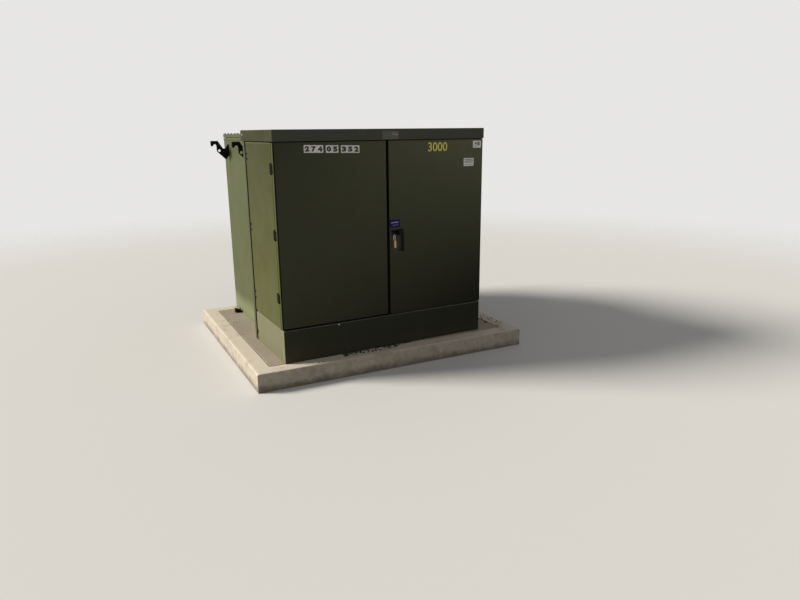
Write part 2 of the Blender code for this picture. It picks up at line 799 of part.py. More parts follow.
def make_barrier():
    # The steel sheet between the two compartments, with the flange that both doors close towards
    low, high = mid_door - stop_flange / 2, mid_door + stop_flange / 2
    outline = [(low, jamb_front), (high, jamb_front), (high, jamb_front + sheet),
               (mid_door + sheet / 2, jamb_front + sheet), (mid_door + sheet / 2, cabinet_depth),
               (mid_door - sheet / 2, cabinet_depth), (mid_door - sheet / 2, jamb_front + sheet),
               (low, jamb_front + sheet)]
    barrier = upright_plate(outline, sill_height + sheet, barrier_top)
    finish(barrier, "barrier", "green_paint", corner)


def fitting(shares, radius, length, share, hand, height, name, material, spade=False):
    # A turned fitting on the front plate, a share of the compartment's width in from its left edge
    place = mid_door * share + (mid_door if hand == "right" else 0)
    face = front_plate_front - seat
    thing = facing(turned([(radius * wide, length * long) for wide, long in shares], fitting_sides),
                   (place, face, height))
    if spade:
        tip = face - length
        blade = raw_box((place - spade_plate / 2, tip - spade_length, height - spade_width / 2),
                        (place + spade_plate / 2, tip + spade_plate, height + spade_width / 2))
        cut(thing, blade, "UNION")
    return finish(thing, name, material, corner)


def make_fittings():
    for count, share in enumerate(hv_place_shares, 1):
        fitting(hv_bushing_shares, hv_bushing_radius, hv_bushing_length, share, "left", hv_bushing_height,
                "hv_bushing_" + str(count), "black_rubber")
    for count, share in enumerate(lv_place_shares, 1):
        height = lv_bushing_height + (lv_bushing_step if count % 2 else 0)
        fitting(lv_bushing_shares, lv_bushing_radius, lv_bushing_length, share, "right", height,
                "lv_bushing_" + str(count), "grey_epoxy", spade=True)
    fitting(gauge_shares, gauge_radius, gauge_length, gauge_place_share, "right",
            lv_bushing_height + lv_bushing_step + gauge_rise, "level_gauge", "grey_epoxy")
    fitting(valve_shares, valve_radius, valve_length, valve_place_share, "right", valve_height,
            "drain_valve", "brass")
    fitting(tap_shares, tap_radius, tap_length, tap_place_share, "left", hv_bushing_height + tap_rise,
            "tap_changer", "bare_steel")


make_pad()
make_tank()
make_front_plate()
make_side("left")
make_side("right")
make_sill()
make_hood()
for side_hand in ("left", "right"):
    make_door(side_hand)
    make_stiffener(side_hand)
    make_hinges(side_hand)
make_handle_set()
make_hooks()
make_cleats()
make_radiators()
make_barrier()
make_fittings()
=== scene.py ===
# Looks of a pad-mounted power transformer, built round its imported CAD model
import math
import random

import bmesh
import bpy
from mathutils import Matrix, Vector, noise


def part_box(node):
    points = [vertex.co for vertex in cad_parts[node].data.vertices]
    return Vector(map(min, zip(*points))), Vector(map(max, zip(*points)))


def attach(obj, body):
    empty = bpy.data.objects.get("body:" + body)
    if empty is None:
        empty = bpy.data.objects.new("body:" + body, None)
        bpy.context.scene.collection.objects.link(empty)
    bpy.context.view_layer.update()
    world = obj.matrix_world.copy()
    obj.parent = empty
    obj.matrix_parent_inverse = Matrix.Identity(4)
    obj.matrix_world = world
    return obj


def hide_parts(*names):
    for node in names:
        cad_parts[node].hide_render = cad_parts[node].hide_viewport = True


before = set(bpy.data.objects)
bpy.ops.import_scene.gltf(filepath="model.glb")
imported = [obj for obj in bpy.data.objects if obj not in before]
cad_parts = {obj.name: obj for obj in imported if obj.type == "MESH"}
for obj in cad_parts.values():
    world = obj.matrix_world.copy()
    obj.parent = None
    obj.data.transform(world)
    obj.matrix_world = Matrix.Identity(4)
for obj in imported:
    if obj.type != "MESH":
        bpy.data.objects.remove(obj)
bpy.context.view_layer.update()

print("frame loaded:", len(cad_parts), "nodes")

# Places are metres from the front left bottom corner of the cabinet, like those of the CAD model
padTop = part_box("pad")[1].z
corner = Vector((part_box("side_left")[0].x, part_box("sill_front")[0].y, padTop))


def localBox(node):
    low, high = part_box(node)
    return low - corner, high - corner


cabinetWidth = localBox("side_right")[1].x
cabinetMiddle = cabinetWidth / 2
hoodLow, hoodHigh = localBox("hood")
tankLow, tankHigh = localBox("tank_body")
coverLow, coverHigh = localBox("tank_cover")
plateLow, plateHigh = localBox("tank_front_plate")
sides = {"left": (0, -1), "right": (cabinetWidth, 1)}  # place of each side and the way out of it
tankWalls = {"left": tankLow.x, "right": tankHigh.x}
towardsFront, upwards = (0, -1, 0), (0, 0, 1)
doorFace = 0.0


# Camera, matched to the straight edges of the photo
camera = {
    "place": (-2.45428, -5.49326, 1.89987),
    "turn": (75.335, 0.563, -28.673),
    "lens": 29.016,
    "sensor": 36,
}
lensData = bpy.data.cameras.new("camera")
lensData.sensor_width = camera["sensor"]
lensData.sensor_fit = "HORIZONTAL"
lensData.lens = camera["lens"]
cameraObject = bpy.data.objects.new("camera", lensData)
cameraObject.location = camera["place"]
cameraObject.rotation_euler = [math.radians(angle) for angle in camera["turn"]]
bpy.context.scene.collection.objects.link(cameraObject)
bpy.context.scene.camera = cameraObject
bpy.context.scene.view_settings.view_transform = "Standard"
print("camera set")


# Node helpers: they work in the material that startMaterial began
def startMaterial(name, roughness=0.5, metallic=0.0, shine=0.5):
    global material, tree, shader
    material = bpy.data.materials.new(name)
    material.use_nodes = True
    tree = material.node_tree
    shader = tree.nodes["Principled BSDF"]
    shader.inputs["Roughness"].default_value = roughness
    shader.inputs["Metallic"].default_value = metallic
    shader.inputs["Specular IOR Level"].default_value = shine


def endMaterial(**sockets):
    for name, value in sockets.items():
        tree.links.new(value, shader.inputs[name.replace("_", " ")])
    return material


def addNode(kind, inputs, output=0, **settings):
    made = tree.nodes.new("ShaderNode" + kind)
    for name, value in settings.items():
        setattr(made, name, value)
    for key, value in inputs.items():
        if isinstance(value, bpy.types.NodeSocket):
            tree.links.new(value, made.inputs[key])
        else:
            made.inputs[key].default_value = value
    return made.outputs[output]


def objectPlace(stretch=(1, 1, 1), shift=(0, 0, 0)):
    place = addNode("TexCoord", {}, "Object")
    return addNode("Mapping", {"Vector": place, "Scale": stretch, "Location": shift})


def clouds(size, stretch=(1, 1, 1), shift=(0, 0, 0), detail=4, rough=0.55):
    return addNode("TexNoise", {"Vector": objectPlace(stretch, shift), "Scale": 1 / size,
                                "Detail": detail, "Roughness": rough})


def cells(size, shift=(0, 0, 0)):
    return addNode("TexVoronoi", {"Vector": objectPlace(shift=shift), "Scale": 1 / size}, "Distance")


def span(value, low, high, first=0.0, last=1.0):
    return addNode("MapRange", {"Value": value, "From Min": low, "From Max": high,
                                "To Min": first, "To Max": last})


def maths(operation, first, second=0.0):
    return addNode("Math", {0: first, 1: second}, operation=operation)


def times(first, second):
    return maths("MULTIPLY", first, second)


def plus(first, second):
    return maths("ADD", first, second)


def mixColour(factor, first, second):
    first, second = ((*tint, 1) if isinstance(tint, tuple) else tint for tint in (first, second))
    return addNode("Mix", {0: factor, 6: first, 7: second}, 2, data_type="RGBA")


def axisOf(vector, axis):
    return addNode("SeparateXYZ", {0: vector}, axis)


def upward():
    return span(axisOf(addNode("NewGeometry", {}, "Normal"), 2), 0.5, 0.9)


def height():
    return axisOf(objectPlace(), 2)


def ragged(size, reach, **noiseSettings):
    # Height with an uneven edge, for stains and painted light that start from below
    return plus(height(), span(clouds(size, **noiseSettings), 0, 1, -reach, reach))


def bump(value, depth, strength=1.0, under=None):
    inputs = {"Height": value, "Distance": depth, "Strength": strength}
    if under is not None:
        inputs["Normal"] = under
    return addNode("Bump", inputs)


def wornEdge(radius):
    # Where the surface turns sharply, whatever its mesh
    bent = addNode("Bevel", {"Radius": radius}, samples=4)
    flat = addNode("NewGeometry", {}, "Normal")
    same = addNode("VectorMath", {0: bent, 1: flat}, "Value", operation="DOT_PRODUCT")
    return span(same, 0.99, 0.86)


# Green paint of the cabinet and the tank: chalked, dusty on top, streaked by rain and splashed low down, with
# painted light and shade by height and by side, and a painted reflection across the front
greenPaint = {
    "faded": (0.122, 0.116, 0.056),
    "dust": (0.33, 0.285, 0.21),
    "soil": (0.15, 0.112, 0.072),
    "dustAndPadReflection": (0.225, 0.250, 0.140),
    "shine": 0.035,
    "orangePeel": 0.0035,
    "sheetWaves": 0.45,
    "top": padTop + 1.70,
    "middle": padTop + 1.00,
    "dustAndPadReflectionTop": padTop + 0.17,
    "splashTop": padTop + 0.12,
}


def makeGreen(name, colour, fade, shift, roughness=0.42, paintedLightByHeight=(1.0, 1.0), dustAndPadReflection=0.0, paintedReflectionTilt=0.0, litAndShadedSides=()):
    startMaterial(name, shine=greenPaint["shine"])
    patches = clouds(0.55, shift=shift, detail=3)
    tint = mixColour(span(patches, 0.30, 0.75, fade * 0.2, fade), colour, greenPaint["faded"])
    mottle = clouds(0.12, shift=shift, detail=5)
    tint = mixColour(span(mottle, 0.35, 0.70, 0.0, 0.22), tint, tuple(0.78 * part for part in colour))
    streaks = clouds(1.0, stretch=(26, 26, 0.8), shift=shift, detail=3)
    rain = times(span(streaks, 0.56, 0.80), span(patches, 0.40, 0.66, 0.0, fade * 0.06))
    tint = mixColour(rain, tint, greenPaint["dust"])
    # Painted light and shade: the colour grows lighter or darker with height, following how the light fell on
    # each sheet
    shade = span(height(), padTop, greenPaint["top"], *paintedLightByHeight)
    # Painted reflection: paler towards the upper right and the lower left of the front, darker towards the
    # other two corners
    if paintedReflectionTilt:  # paler towards the upper right and the lower left
        across = maths("SUBTRACT", axisOf(objectPlace(), 0), corner.x + cabinetMiddle)
        above = maths("SUBTRACT", height(), greenPaint["middle"])
        shade = times(shade, plus(times(times(across, above), paintedReflectionTilt), 1.0))
    tint = addNode("VectorMath", {0: tint, "Scale": shade}, operation="SCALE")
    # Painted light and shade: faces turned to the left take the lit colour of the left sheets, faces turned
    # to the right take the shaded colour of the right ones
    for way, beside in zip((-1.0, 1.0), litAndShadedSides):  # returns take the colour of the sheets beside them
        facing = axisOf(addNode("TexCoord", {}, "Normal"), 0)
        tint = mixColour(span(times(facing, way), 0.6, 0.8), tint, beside)
    # Dust and a painted reflection of the pad: paler towards the tank's foot
    if dustAndPadReflection:
        top = greenPaint["dustAndPadReflectionTop"]
        low = span(ragged(0.5, 0.06, shift=shift), top + 0.03, top - 0.09, 0.0, dustAndPadReflection)
        tint = mixColour(low, tint, greenPaint["dustAndPadReflection"])
    lying = times(upward(), span(clouds(0.34, shift=shift, detail=7), 0.30, 0.75, 0.20, 0.48))
    tint = mixColour(lying, tint, greenPaint["dust"])
    # Soil splashed up from the ground, thicker towards the foot
    low = span(ragged(0.10, 0.09, shift=shift, detail=6), greenPaint["splashTop"], padTop - 0.02)
    specks = span(clouds(0.007, shift=shift, detail=2), 0.50, 0.66)
    splash = times(low, span(specks, 0, 1, 0.10, 0.50))
    tint = mixColour(splash, tint, greenPaint["soil"])
    gloss = span(clouds(0.20, shift=shift, detail=5), 0.3, 0.7, roughness - 0.05, roughness + 0.09)
    gloss = plus(gloss, times(maths("MAXIMUM", lying, splash), 0.45))
    waves = bump(clouds(greenPaint["sheetWaves"], shift=shift, detail=1), 0.016, 0.5)
    peel = bump(clouds(greenPaint["orangePeel"], detail=1), 0.00012, 0.6, waves)
    return endMaterial(Base_Color=tint, Roughness=gloss, Normal=peel)


# Black paint on hooks, hinges and the handle, rubbed to brown steel along its edges
blackPaint = {
    "colour": (0.0055, 0.0055, 0.0056),
    "grey": (0.014, 0.0135, 0.013),
    "worn": (0.085, 0.050, 0.032),
    "dust": (0.115, 0.10, 0.080),
    "shine": 0.10,
}


def makeBlack(name, wear, radius, roughness=0.55):
    startMaterial(name, shine=blackPaint["shine"])
    edge = times(wornEdge(radius), span(clouds(0.012, detail=5), 0.48, 0.62, 0, wear))
    patches = span(clouds(0.03, detail=5), 0.45, 0.75, 0, 0.35)
    tint = mixColour(patches, blackPaint["colour"], blackPaint["grey"])
    tint = mixColour(times(upward(), 0.35), tint, blackPaint["dust"])
    tint = mixColour(edge, tint, blackPaint["worn"])
    gloss = span(clouds(0.02, detail=4), 0.3, 0.7, roughness - 0.08, roughness + 0.16)
    return endMaterial(Base_Color=tint, Roughness=gloss, Normal=bump(clouds(0.0035, detail=2), 0.0002, 0.7))


# Concrete of the pad: a smooth tooled border, a broomed field inside it and cast sides
concrete = {
    "border": (0.63, 0.555, 0.450),
    "field": (0.325, 0.276, 0.210),
    "padSide": (0.52, 0.465, 0.385),
    # Painted shade: the groove's dark colour stands for the shade in it
    "groove": (0.080, 0.066, 0.050),
}
concreteStain, concreteLight = (0.150, 0.122, 0.092), (0.68, 0.61, 0.50)


def makeConcrete(name, kind):
    startMaterial(name, 0.9)
    colour = concrete[kind]
    blotches = clouds(0.28, detail=5, shift=(3, 1, 2))
    pale = 0.36 if kind == "border" else 0.16
    tint = mixColour(span(blotches, 0.35, 0.70, 0.0, pale), colour, concreteLight)
    damp = clouds(0.17, detail=6, shift=(7, 5, 4))
    tint = mixColour(span(damp, 0.54, 0.72, 0.0, 0.42), tint, concreteStain)
    sand = clouds(0.0022, detail=2)
    tint = mixColour(span(sand, 0.42, 0.66, 0.0, 0.28), tint, tuple(0.55 * part for part in colour))
    flecks = times(span(cells(0.021), 0.17, 0.10), span(clouds(0.16, detail=3, shift=(1, 9, 5)), 0.50, 0.62))
    tint = mixColour(times(flecks, 0.75 if kind != "padSide" else 0.3), tint, concreteStain)
    pits = times(span(cells(0.012, shift=(2, 2, 2)), 0.13, 0.05), span(clouds(0.05, detail=2), 0.5, 0.6))
    tint = mixColour(times(pits, 0.6), tint, concreteStain)
    grain = bump(maths("SUBTRACT", times(sand, 0.35), pits), 0.0012, 0.8)
    if kind == "field":
        lines = clouds(1.0, stretch=(9, 330, 9), detail=3)
        tint = mixColour(span(lines, 0.40, 0.62, 0.0, 0.20), tint, concreteStain)
        grain = bump(lines, 0.0035, 1.0, grain)
    if kind == "padSide":
        runs = clouds(0.075, detail=6, shift=(4, 2, 9), rough=0.65)
        tint = mixColour(span(runs, 0.46, 0.66, 0.0, 0.34), tint, concreteStain)
        spills = clouds(0.06, stretch=(1, 1, 0.6), detail=5, shift=(8, 8, 1))
        tint = mixColour(span(spills, 0.60, 0.68, 0.0, 0.55), tint, concreteLight)
        tint = mixColour(span(ragged(0.09, 0.055, detail=6), 0.060, 0.012, 0.0, 0.8), tint, concreteStain)
        grain = bump(runs, 0.002, 0.6, grain)
    return endMaterial(Base_Color=tint, Normal=grain)


# Small metals, plastics and prints: colour, dulled colour, metal, roughness, grain size and shine
smallFinishes = {
    "zincSteel": ((0.42, 0.42, 0.40), (0.20, 0.19, 0.17), 1.0, 0.42, 0.004, 0.4),
    "brightSteel": ((0.55, 0.55, 0.54), (0.30, 0.28, 0.26), 1.0, 0.30, 0.003, 0.4),
    "lockBrass": ((0.62, 0.47, 0.36), (0.44, 0.32, 0.24), 0.35, 0.45, 0.004, 0.4),
    "brass": ((0.60, 0.40, 0.19), (0.33, 0.20, 0.10), 1.0, 0.36, 0.005, 0.4),
    "copper": ((0.52, 0.24, 0.13), (0.24, 0.12, 0.075), 1.0, 0.42, 0.008, 0.4),
    "tinnedCopper": ((0.62, 0.60, 0.55), (0.42, 0.36, 0.30), 1.0, 0.38, 0.006, 0.4),
    "epoxy": ((0.165, 0.166, 0.172), (0.115, 0.115, 0.118), 0.0, 0.38, 0.01, 0.4),
    "rubber": ((0.012, 0.012, 0.012), (0.030, 0.029, 0.027), 0.0, 0.62, 0.004, 0.4),
    # Painted shade: black for the shade in gaps and seams
    "darkGap": ((0.004, 0.004, 0.0035), (0.008, 0.0075, 0.0065), 0.0, 0.85, 0.01, 0.02),
    # Painted highlights: pale colours for the lit bends of the front sill and the side sheets
    "sillEdge": ((0.105, 0.108, 0.085), (0.060, 0.062, 0.048), 0.0, 0.60, 0.02, 0.1),
    "sideEdge": ((0.150, 0.152, 0.075), (0.110, 0.112, 0.050), 0.0, 0.55, 0.02, 0.1),
    "soil": ((0.060, 0.045, 0.032), (0.024, 0.018, 0.013), 0.0, 0.95, 0.006, 0.05),
    "tileWhite": ((0.93, 0.93, 0.90), (0.78, 0.76, 0.68), 0.0, 0.45, 0.02, 0.4),
    "labelWhite": ((0.95, 0.95, 0.92), (0.84, 0.83, 0.78), 0.0, 0.50, 0.02, 0.4),
    "printGrey": ((0.20, 0.205, 0.20), (0.30, 0.30, 0.29), 0.0, 0.55, 0.006, 0.4),
    "digitBlack": ((0.008, 0.008, 0.008), (0.020, 0.019, 0.018), 0.0, 0.50, 0.006, 0.4),
    "stencilYellow": ((0.84, 0.78, 0.180), (0.66, 0.60, 0.15), 0.0, 0.55, 0.008, 0.4),
    "stickerBlue": ((0.005, 0.003, 0.085), (0.008, 0.005, 0.098), 0.0, 0.40, 0.02, 0.15),
    "stickerPale": ((0.4, 0.39, 0.62), (0.28, 0.26, 0.48), 0.0, 0.45, 0.006, 0.15),
    "fadedLabel": ((0.080, 0.082, 0.066), (0.105, 0.104, 0.086), 0.0, 0.50, 0.02, 0.4),
    "fadedRed": ((0.33, 0.20, 0.18), (0.24, 0.21, 0.19), 0.0, 0.50, 0.006, 0.4),
}


def makeSmall(name):
    colour, dull, metal, rough, size, shine = smallFinishes[name]
    startMaterial(name, rough, metal, shine)
    mottle = clouds(size, detail=5)
    wide = clouds(size * 6, detail=3, shift=(4, 4, 4))
    tint = mixColour(span(mottle, 0.40, 0.70, 0.0, 0.6), colour, dull)
    tint = mixColour(span(wide, 0.45, 0.70, 0.0, 0.5), tint, dull)
    return endMaterial(Base_Color=tint, Roughness=span(wide, 0.3, 0.7, rough - 0.06, rough + 0.12),
                       Normal=bump(mottle, 0.0001, 0.5))


# Colours of the lit left sheets and the shaded right ones, which the doors' and the sill's returns share
sillPale, sillShaded = (0.196, 0.194, 0.120), (0.135, 0.136, 0.090)
looks = {
    # Painted light: the left side sheet's yellow colour, low in blue, is that of warm sunlight, and it is
    # paler low down and darker towards the top, following how the light fell
    "cabinet": makeGreen("greenCabinet", (0.076, 0.082, 0.022), 0.40, (0, 0, 0), paintedLightByHeight=(1.20, 0.60)),
    # Painted light and shade: the doors darken towards the foot and lighten towards the top, with a painted
    # reflection across them, and their returns take the lit and shaded colours of the sides
    "door": makeGreen("greenDoor", (0.062, 0.067, 0.042), 0.06, (5, 2, 1), paintedLightByHeight=(0.36, 1.66), paintedReflectionTilt=0.72,
                      litAndShadedSides=((0.078, 0.083, 0.024), (0.080, 0.086, 0.046))),
    # Painted shade: the hood's left side takes a darker colour than its front, following how the light fell
    # there
    "hood": makeGreen("greenHood", (0.090, 0.094, 0.078), 0.10, (1, 6, 2),
                      litAndShadedSides=((0.038, 0.039, 0.014), (0.072, 0.076, 0.044))),
    # Painted light: the pocket is paler than the doors to offset the shade inside it
    "pocket": makeGreen("greenPocketPaintedLight", (0.150, 0.155, 0.105), 0.10, (2, 6, 2)),
    "sill": makeGreen("greenSill", sillPale, 0.20, (4, 4, 8), 0.48),
    # Painted shade: the front sill is painted dark like the foot of the doors, far darker than the sill's
    # sides, with a painted reflection across it; its returns take the lit and shaded sill colours
    "sillFront": makeGreen("greenSillFront", (0.031, 0.035, 0.023), 0.06, (4, 1, 8), 0.48, paintedReflectionTilt=0.16,
                           litAndShadedSides=(sillPale, sillShaded)),
    "sillRight": makeGreen("greenSillRight", sillShaded, 0.20, (3, 4, 8), 0.48),
    "cabinetRight": makeGreen("greenCabinetRight", (0.080, 0.086, 0.044), 0.30, (7, 1, 0)),
    # Dust and a painted reflection of the pad make the tank paler at its foot
    "tank": makeGreen("greenTank", (0.096, 0.110, 0.051), 0.34, (2, 7, 3), 0.46, dustAndPadReflection=0.85),
    "radiator": makeGreen("greenRadiator", (0.084, 0.094, 0.040), 0.40, (8, 3, 6), 0.46),
    "black": makeBlack("blackPaint", 0.9, 0.004),
    "blackSmall": makeBlack("blackPaintSmall", 0.5, 0.0015),
    "hinge": makeBlack("blackPaintHinge", 0.1, 0.0015, 0.70),
    "border": makeConcrete("concreteBorder", "border"),
    "field": makeConcrete("concreteField", "field"),
    "padSide": makeConcrete("concreteSide", "padSide"),
    "groove": makeConcrete("concreteGrooveShade", "groove"),
}
looks.update({name: makeSmall(name) for name in smallFinishes})
print("materials made:", len(looks))


def roundEdges(thing, width):
    edges = thing.modifiers.new("rounded edges", "BEVEL")
    edges.width = width
    edges.segments = 2
    edges.limit_method = "ANGLE"
    edges.angle_limit = math.radians(35)


# The CAD pieces that keep their shape get welded corners, small rounded edges and their paint
keptFinish = {
    "tank_body": ("tank", 0.0), "cover_gasket": ("rubber", 0.0), "tank_cover": ("tank", 0.0),
    "tank_front_plate": ("cabinetRight", 0.0010), "barrier": ("cabinetRight", 0.0008),
    "side_left": ("cabinet", 0.0010), "side_right": ("cabinetRight", 0.0010), "hood": ("hood", 0.0007),
    "sill_left": ("sill", 0.0010), "sill_right": ("sillRight", 0.0010), "sill_front": ("sillFront", 0.0007),
    "door_left": ("door", 0.0007), "door_right": ("door", 0.0007), "door_left_stiffener": ("door", 0.0007),
    "door_right_stiffener": ("door", 0.0007), "handle_pocket": ("pocket", 0.0007),
    "handle": ("blackSmall", 0.0012), "latch_cam": ("zincSteel", 0.0008),
    "lock_staple": ("blackSmall", 0.0008), "padlock_shackle": ("brightSteel", 0.0),
    "padlock_body": ("lockBrass", 0.0012),
}
keptFinish.update({node: ("hinge", 0.0006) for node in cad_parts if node.startswith("hinge_")})
keptFinish.update({node: ("black", 0.0020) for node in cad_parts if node.startswith("cleat_")})
for node, (finish, rounding) in keptFinish.items():
    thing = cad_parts[node]
    thing.data.materials.clear()
    thing.data.materials.append(looks[finish])
    if rounding:
        thing.modifiers.new("joined corners", "WELD").merge_threshold = 0.00002
        roundEdges(thing, rounding)
print("CAD pieces dressed")


# Mesh helpers: every mesh is drawn in the frame's own metres, with its object at the origin
def at(x, y, z):
    return corner + Vector((x, y, z))


def loft(mesh, rings, caps=True):
    made = [[mesh.verts.new(point) for point in ring] for ring in rings]
    for lower, upper in zip(made, made[1:]):
        for place in range(len(lower)):
            mesh.faces.new((lower[place - 1], lower[place], upper[place], upper[place - 1]))
    if caps:
        mesh.faces.new(list(reversed(made[0])))
        mesh.faces.new(made[-1])
    return made


def acrossAxis(axis):
    axis = Vector(axis).normalized()
    up = Vector((0, 0, 1)) if abs(axis.z) < 0.9 else Vector((0, 1, 0))
    side = axis.cross(up).normalized()
    return side, side.cross(axis).normalized(), axis


def circle(middle, side, up, radius, steps):
    return [middle + (side * math.cos(math.tau * n / steps) + up * math.sin(math.tau * n / steps)) * radius
            for n in range(steps)]


def turned(mesh, place, axis, profile, steps=24):
    # A turned shape along an axis, from (radius, distance) pairs
    side, up, along = acrossAxis(axis)
    loft(mesh, [circle(place + along * far, side, up, wide, steps) for wide, far in profile])


def tube(mesh, path, radius, steps=10):
    rings = []
    for n, point in enumerate(path):
        side, up, _ = acrossAxis(path[min(n + 1, len(path) - 1)] - path[max(n - 1, 0)])
        rings.append(circle(point, side, up, radius, steps))
    loft(mesh, rings)


def block(mesh, low, high, rounding=0.0):
    part = bmesh.new()
    bmesh.ops.create_cube(part, size=1)
    size, middle = high - low, (low + high) / 2
    for vert in part.verts:
        vert.co = vert.co * size + middle
    if rounding:
        bmesh.ops.bevel(part, geom=part.edges[:], offset=rounding, segments=2, affect="EDGES", profile=0.5)
    spare = bpy.data.meshes.new("spare")
    part.to_mesh(spare)
    part.free()
    mesh.from_mesh(spare)
    bpy.data.meshes.remove(spare)


def hexBolt(mesh, place, axis, size):
    # Washer with rounded rims, then a chamfered hexagon head; shares of the size
    along = acrossAxis(axis)[2]
    for start, steps, profile in ((0, 24, ((1.02, 0), (1.12, 0.05), (1.12, 0.12), (1.02, 0.17))),
                                  (0.16, 6, ((0.86, 0), (0.88, 0.03), (0.88, 0.52), (0.72, 0.62))),
                                  (0.76, 16, ((0.46, 0), (0.44, 0.05)))):
        scaled = [(size * wide, size * far) for wide, far in profile]
        turned(mesh, place + along * size * start, axis, scaled, steps)


def weldBead(mesh, start, end, radius, ripple=0.011, steps=8):
    # Overlapping scales of weld metal laid along a seam
    run = end - start
    side, up, _ = acrossAxis(run)
    count = max(4, int(run.length / (ripple / 3)))
    rings = []
    for n in range(count + 1):
        share = n / count
        phase = (share * run.length / ripple) % 1
        swell = 0.84 + 0.24 * phase + 0.10 * noise.noise(start * 7 + run * share * 31)
        if n in (0, count):
            swell *= 0.35
        rings.append(circle(start + run * share, side, up, radius * swell, steps))
    loft(mesh, rings)


# Finishes that share a slot of the record
slots = {
    "darkGap": "black_rubber", "rubber": "black_rubber", "black": "black_paint",
    "blackSmall": "bare_steel", "zincSteel": "bare_steel", "brightSteel": "bare_steel",
    "tinnedCopper": "bare_steel", "tank": "green_paint", "radiator": "green_paint",
    "epoxy": "grey_epoxy", "brass": "brass", "copper": "brass",
}


def addPiece(name, mesh, finish, body="root", slot=None, stands=(), smooth=35, bevel=0.0):
    bmesh.ops.recalc_face_normals(mesh, faces=mesh.faces[:])
    data = bpy.data.meshes.new(name)
    mesh.to_mesh(data)
    mesh.free()
    for finishName in ([finish] if isinstance(finish, str) else finish):
        data.materials.append(looks[finishName])
    data.shade_smooth()
    data.set_sharp_from_angle(angle=math.radians(smooth))
    piece = bpy.data.objects.new(name, data)
    bpy.context.scene.collection.objects.link(piece)
    if bevel:
        roundEdges(piece, bevel)
    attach(piece, body)
    slot = slots.get(finish) if slot is None else slot
    if stands:
        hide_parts(*stands)


def addBlocks(name, boxes, finish, body="root", **settings):
    # One piece of rounded blocks, each given by two corners and its rounding
    mesh = bmesh.new()
    for low, high, rounding in boxes:
        block(mesh, at(*low), at(*high), rounding)
    addPiece(name, mesh, finish, body, **settings)


# The pad: cast sides, a rounded rim, a smooth tooled border, a groove and a broomed field
pad = {
    "turn": -1.5,
    "length": 2.423,
    "depth": 2.096,
    "spacing": 0.010,
    "rim": 0.013,
    "borderWidth": 0.128,
    "grooveWidth": 0.012,
    "grooveDepth": 0.0040,
    "window": ((0.150, 0.120), (1.679, 0.600)),
    "roughness": 0.0012,
    "chip": 0.007,
}


def padRing(left, front, right, back, z, counts):
    # Points round a rectangle, as many on each side as counts says
    ends = [(left, front), (right, front), (right, back), (left, back)]
    points = []
    for n, count in enumerate(counts):
        (x, y), (nextX, nextY) = ends[n], ends[(n + 1) % 4]
        points += [Vector((x + (nextX - x) * k / count, y + (nextY - y) * k / count, z))
                   for k in range(count)]
    return points


def roughen(point, inset, z):
    # Cast sides wander, the rim is nicked and the top is a little uneven
    share = Vector((point.x / pad["length"], point.y / pad["depth"]))
    outward = Vector((0, math.copysign(1, point.y), 0))
    if abs(share.x) > abs(share.y):
        outward = Vector((math.copysign(1, point.x), 0, 0))
    wobble = abs(noise.noise(point * 9)) + 0.5 * abs(noise.noise(point * 40))
    if inset == 0:
        point -= outward * pad["roughness"] * wobble * 2
    elif inset <= pad["rim"]:
        nick = max(0.0, noise.noise(Vector((point.x * 21, point.y * 21, 3.1))) - 0.42)
        point -= outward * pad["chip"] * nick
        point.z -= pad["chip"] * nick * 1.5
    elif z == padTop:
        point.z -= 0.0008 * wobble


def makePad():
    counts = [round(side / pad["spacing"]) for side in (pad["length"], pad["depth"]) * 2]
    turn = Matrix.Rotation(math.radians(pad["turn"]), 3, "Z")
    rim, border, groove = pad["rim"], pad["borderWidth"], pad["grooveWidth"]
    halfX, halfY = pad["length"] / 2, pad["depth"] / 2
    levels = [(0.0, padTop * n / 9) for n in range(9)] + [(0.0, padTop - rim)]
    levels += [(rim - rim * math.cos(math.pi / 2 * n / 4), padTop - rim + rim * math.sin(math.pi / 2 * n / 4))
               for n in range(1, 5)]
    levels += [(rim + (border - rim) * share, padTop) for share in (0.2, 0.5, 0.8, 1.0)]
    levels += [(border + groove * share, padTop - pad["grooveDepth"]) for share in (0.2, 0.8)]
    levels += [(border + groove + far, padTop) for far in (0, 0.03, 0.08)]
    rings = []
    for inset, z in levels:
        ring = padRing(inset - halfX, inset - halfY, halfX - inset, halfY - inset, z, counts)
        for point in ring:
            roughen(point, inset, z)
        rings.append([turn @ point for point in ring])
    (x0, y0), (x1, y1) = pad["window"]
    window = (corner.x + x0, corner.y + y0, corner.x + x1, corner.y + y1)
    rings += [padRing(*window, z, counts) for z in (padTop, 0)]
    mesh = bmesh.new()
    made = loft(mesh, rings + [rings[0]], caps=False)
    bmesh.ops.remove_doubles(mesh, verts=made[0] + made[-1], dist=0.00001)
    mesh.faces.ensure_lookup_table()
    for face in mesh.faces:
        middle = turn.inverted() @ face.calc_center_median()
        inset = min(halfX - abs(middle.x), halfY - abs(middle.y))
        if middle.z < padTop - rim * 0.7 or inset < rim * 0.3:
            face.material_index = 2
        elif border + groove * 0.2 < inset < border + groove * 0.8:
            face.material_index = 3
        elif inset > border:
            face.material_index = 1
    finishes = ["border", "field", "padSide", "groove"]
    addPiece("padSlab", mesh, finishes, slot="concrete", stands=["pad"], smooth=50)


# Crumbs of soil on the pad, along the foot of the front sill and at the right end.
# Each patch has its left, right, front and back and its count of crumbs
crumbs = {
    "patches": ((0.47, 0.98, -0.072, -0.006, 130), (0.86, 1.12, -0.034, -0.004, 30),
                (2.02, 2.165, 0.0, 0.37, 34), (1.95, 2.05, 0.12, 0.30, 8), (0.22, 0.30, -0.10, -0.03, 3)),
    "size": (0.0028, 0.0085),
    "crowding": 1.15,
    "seed": 7,
}


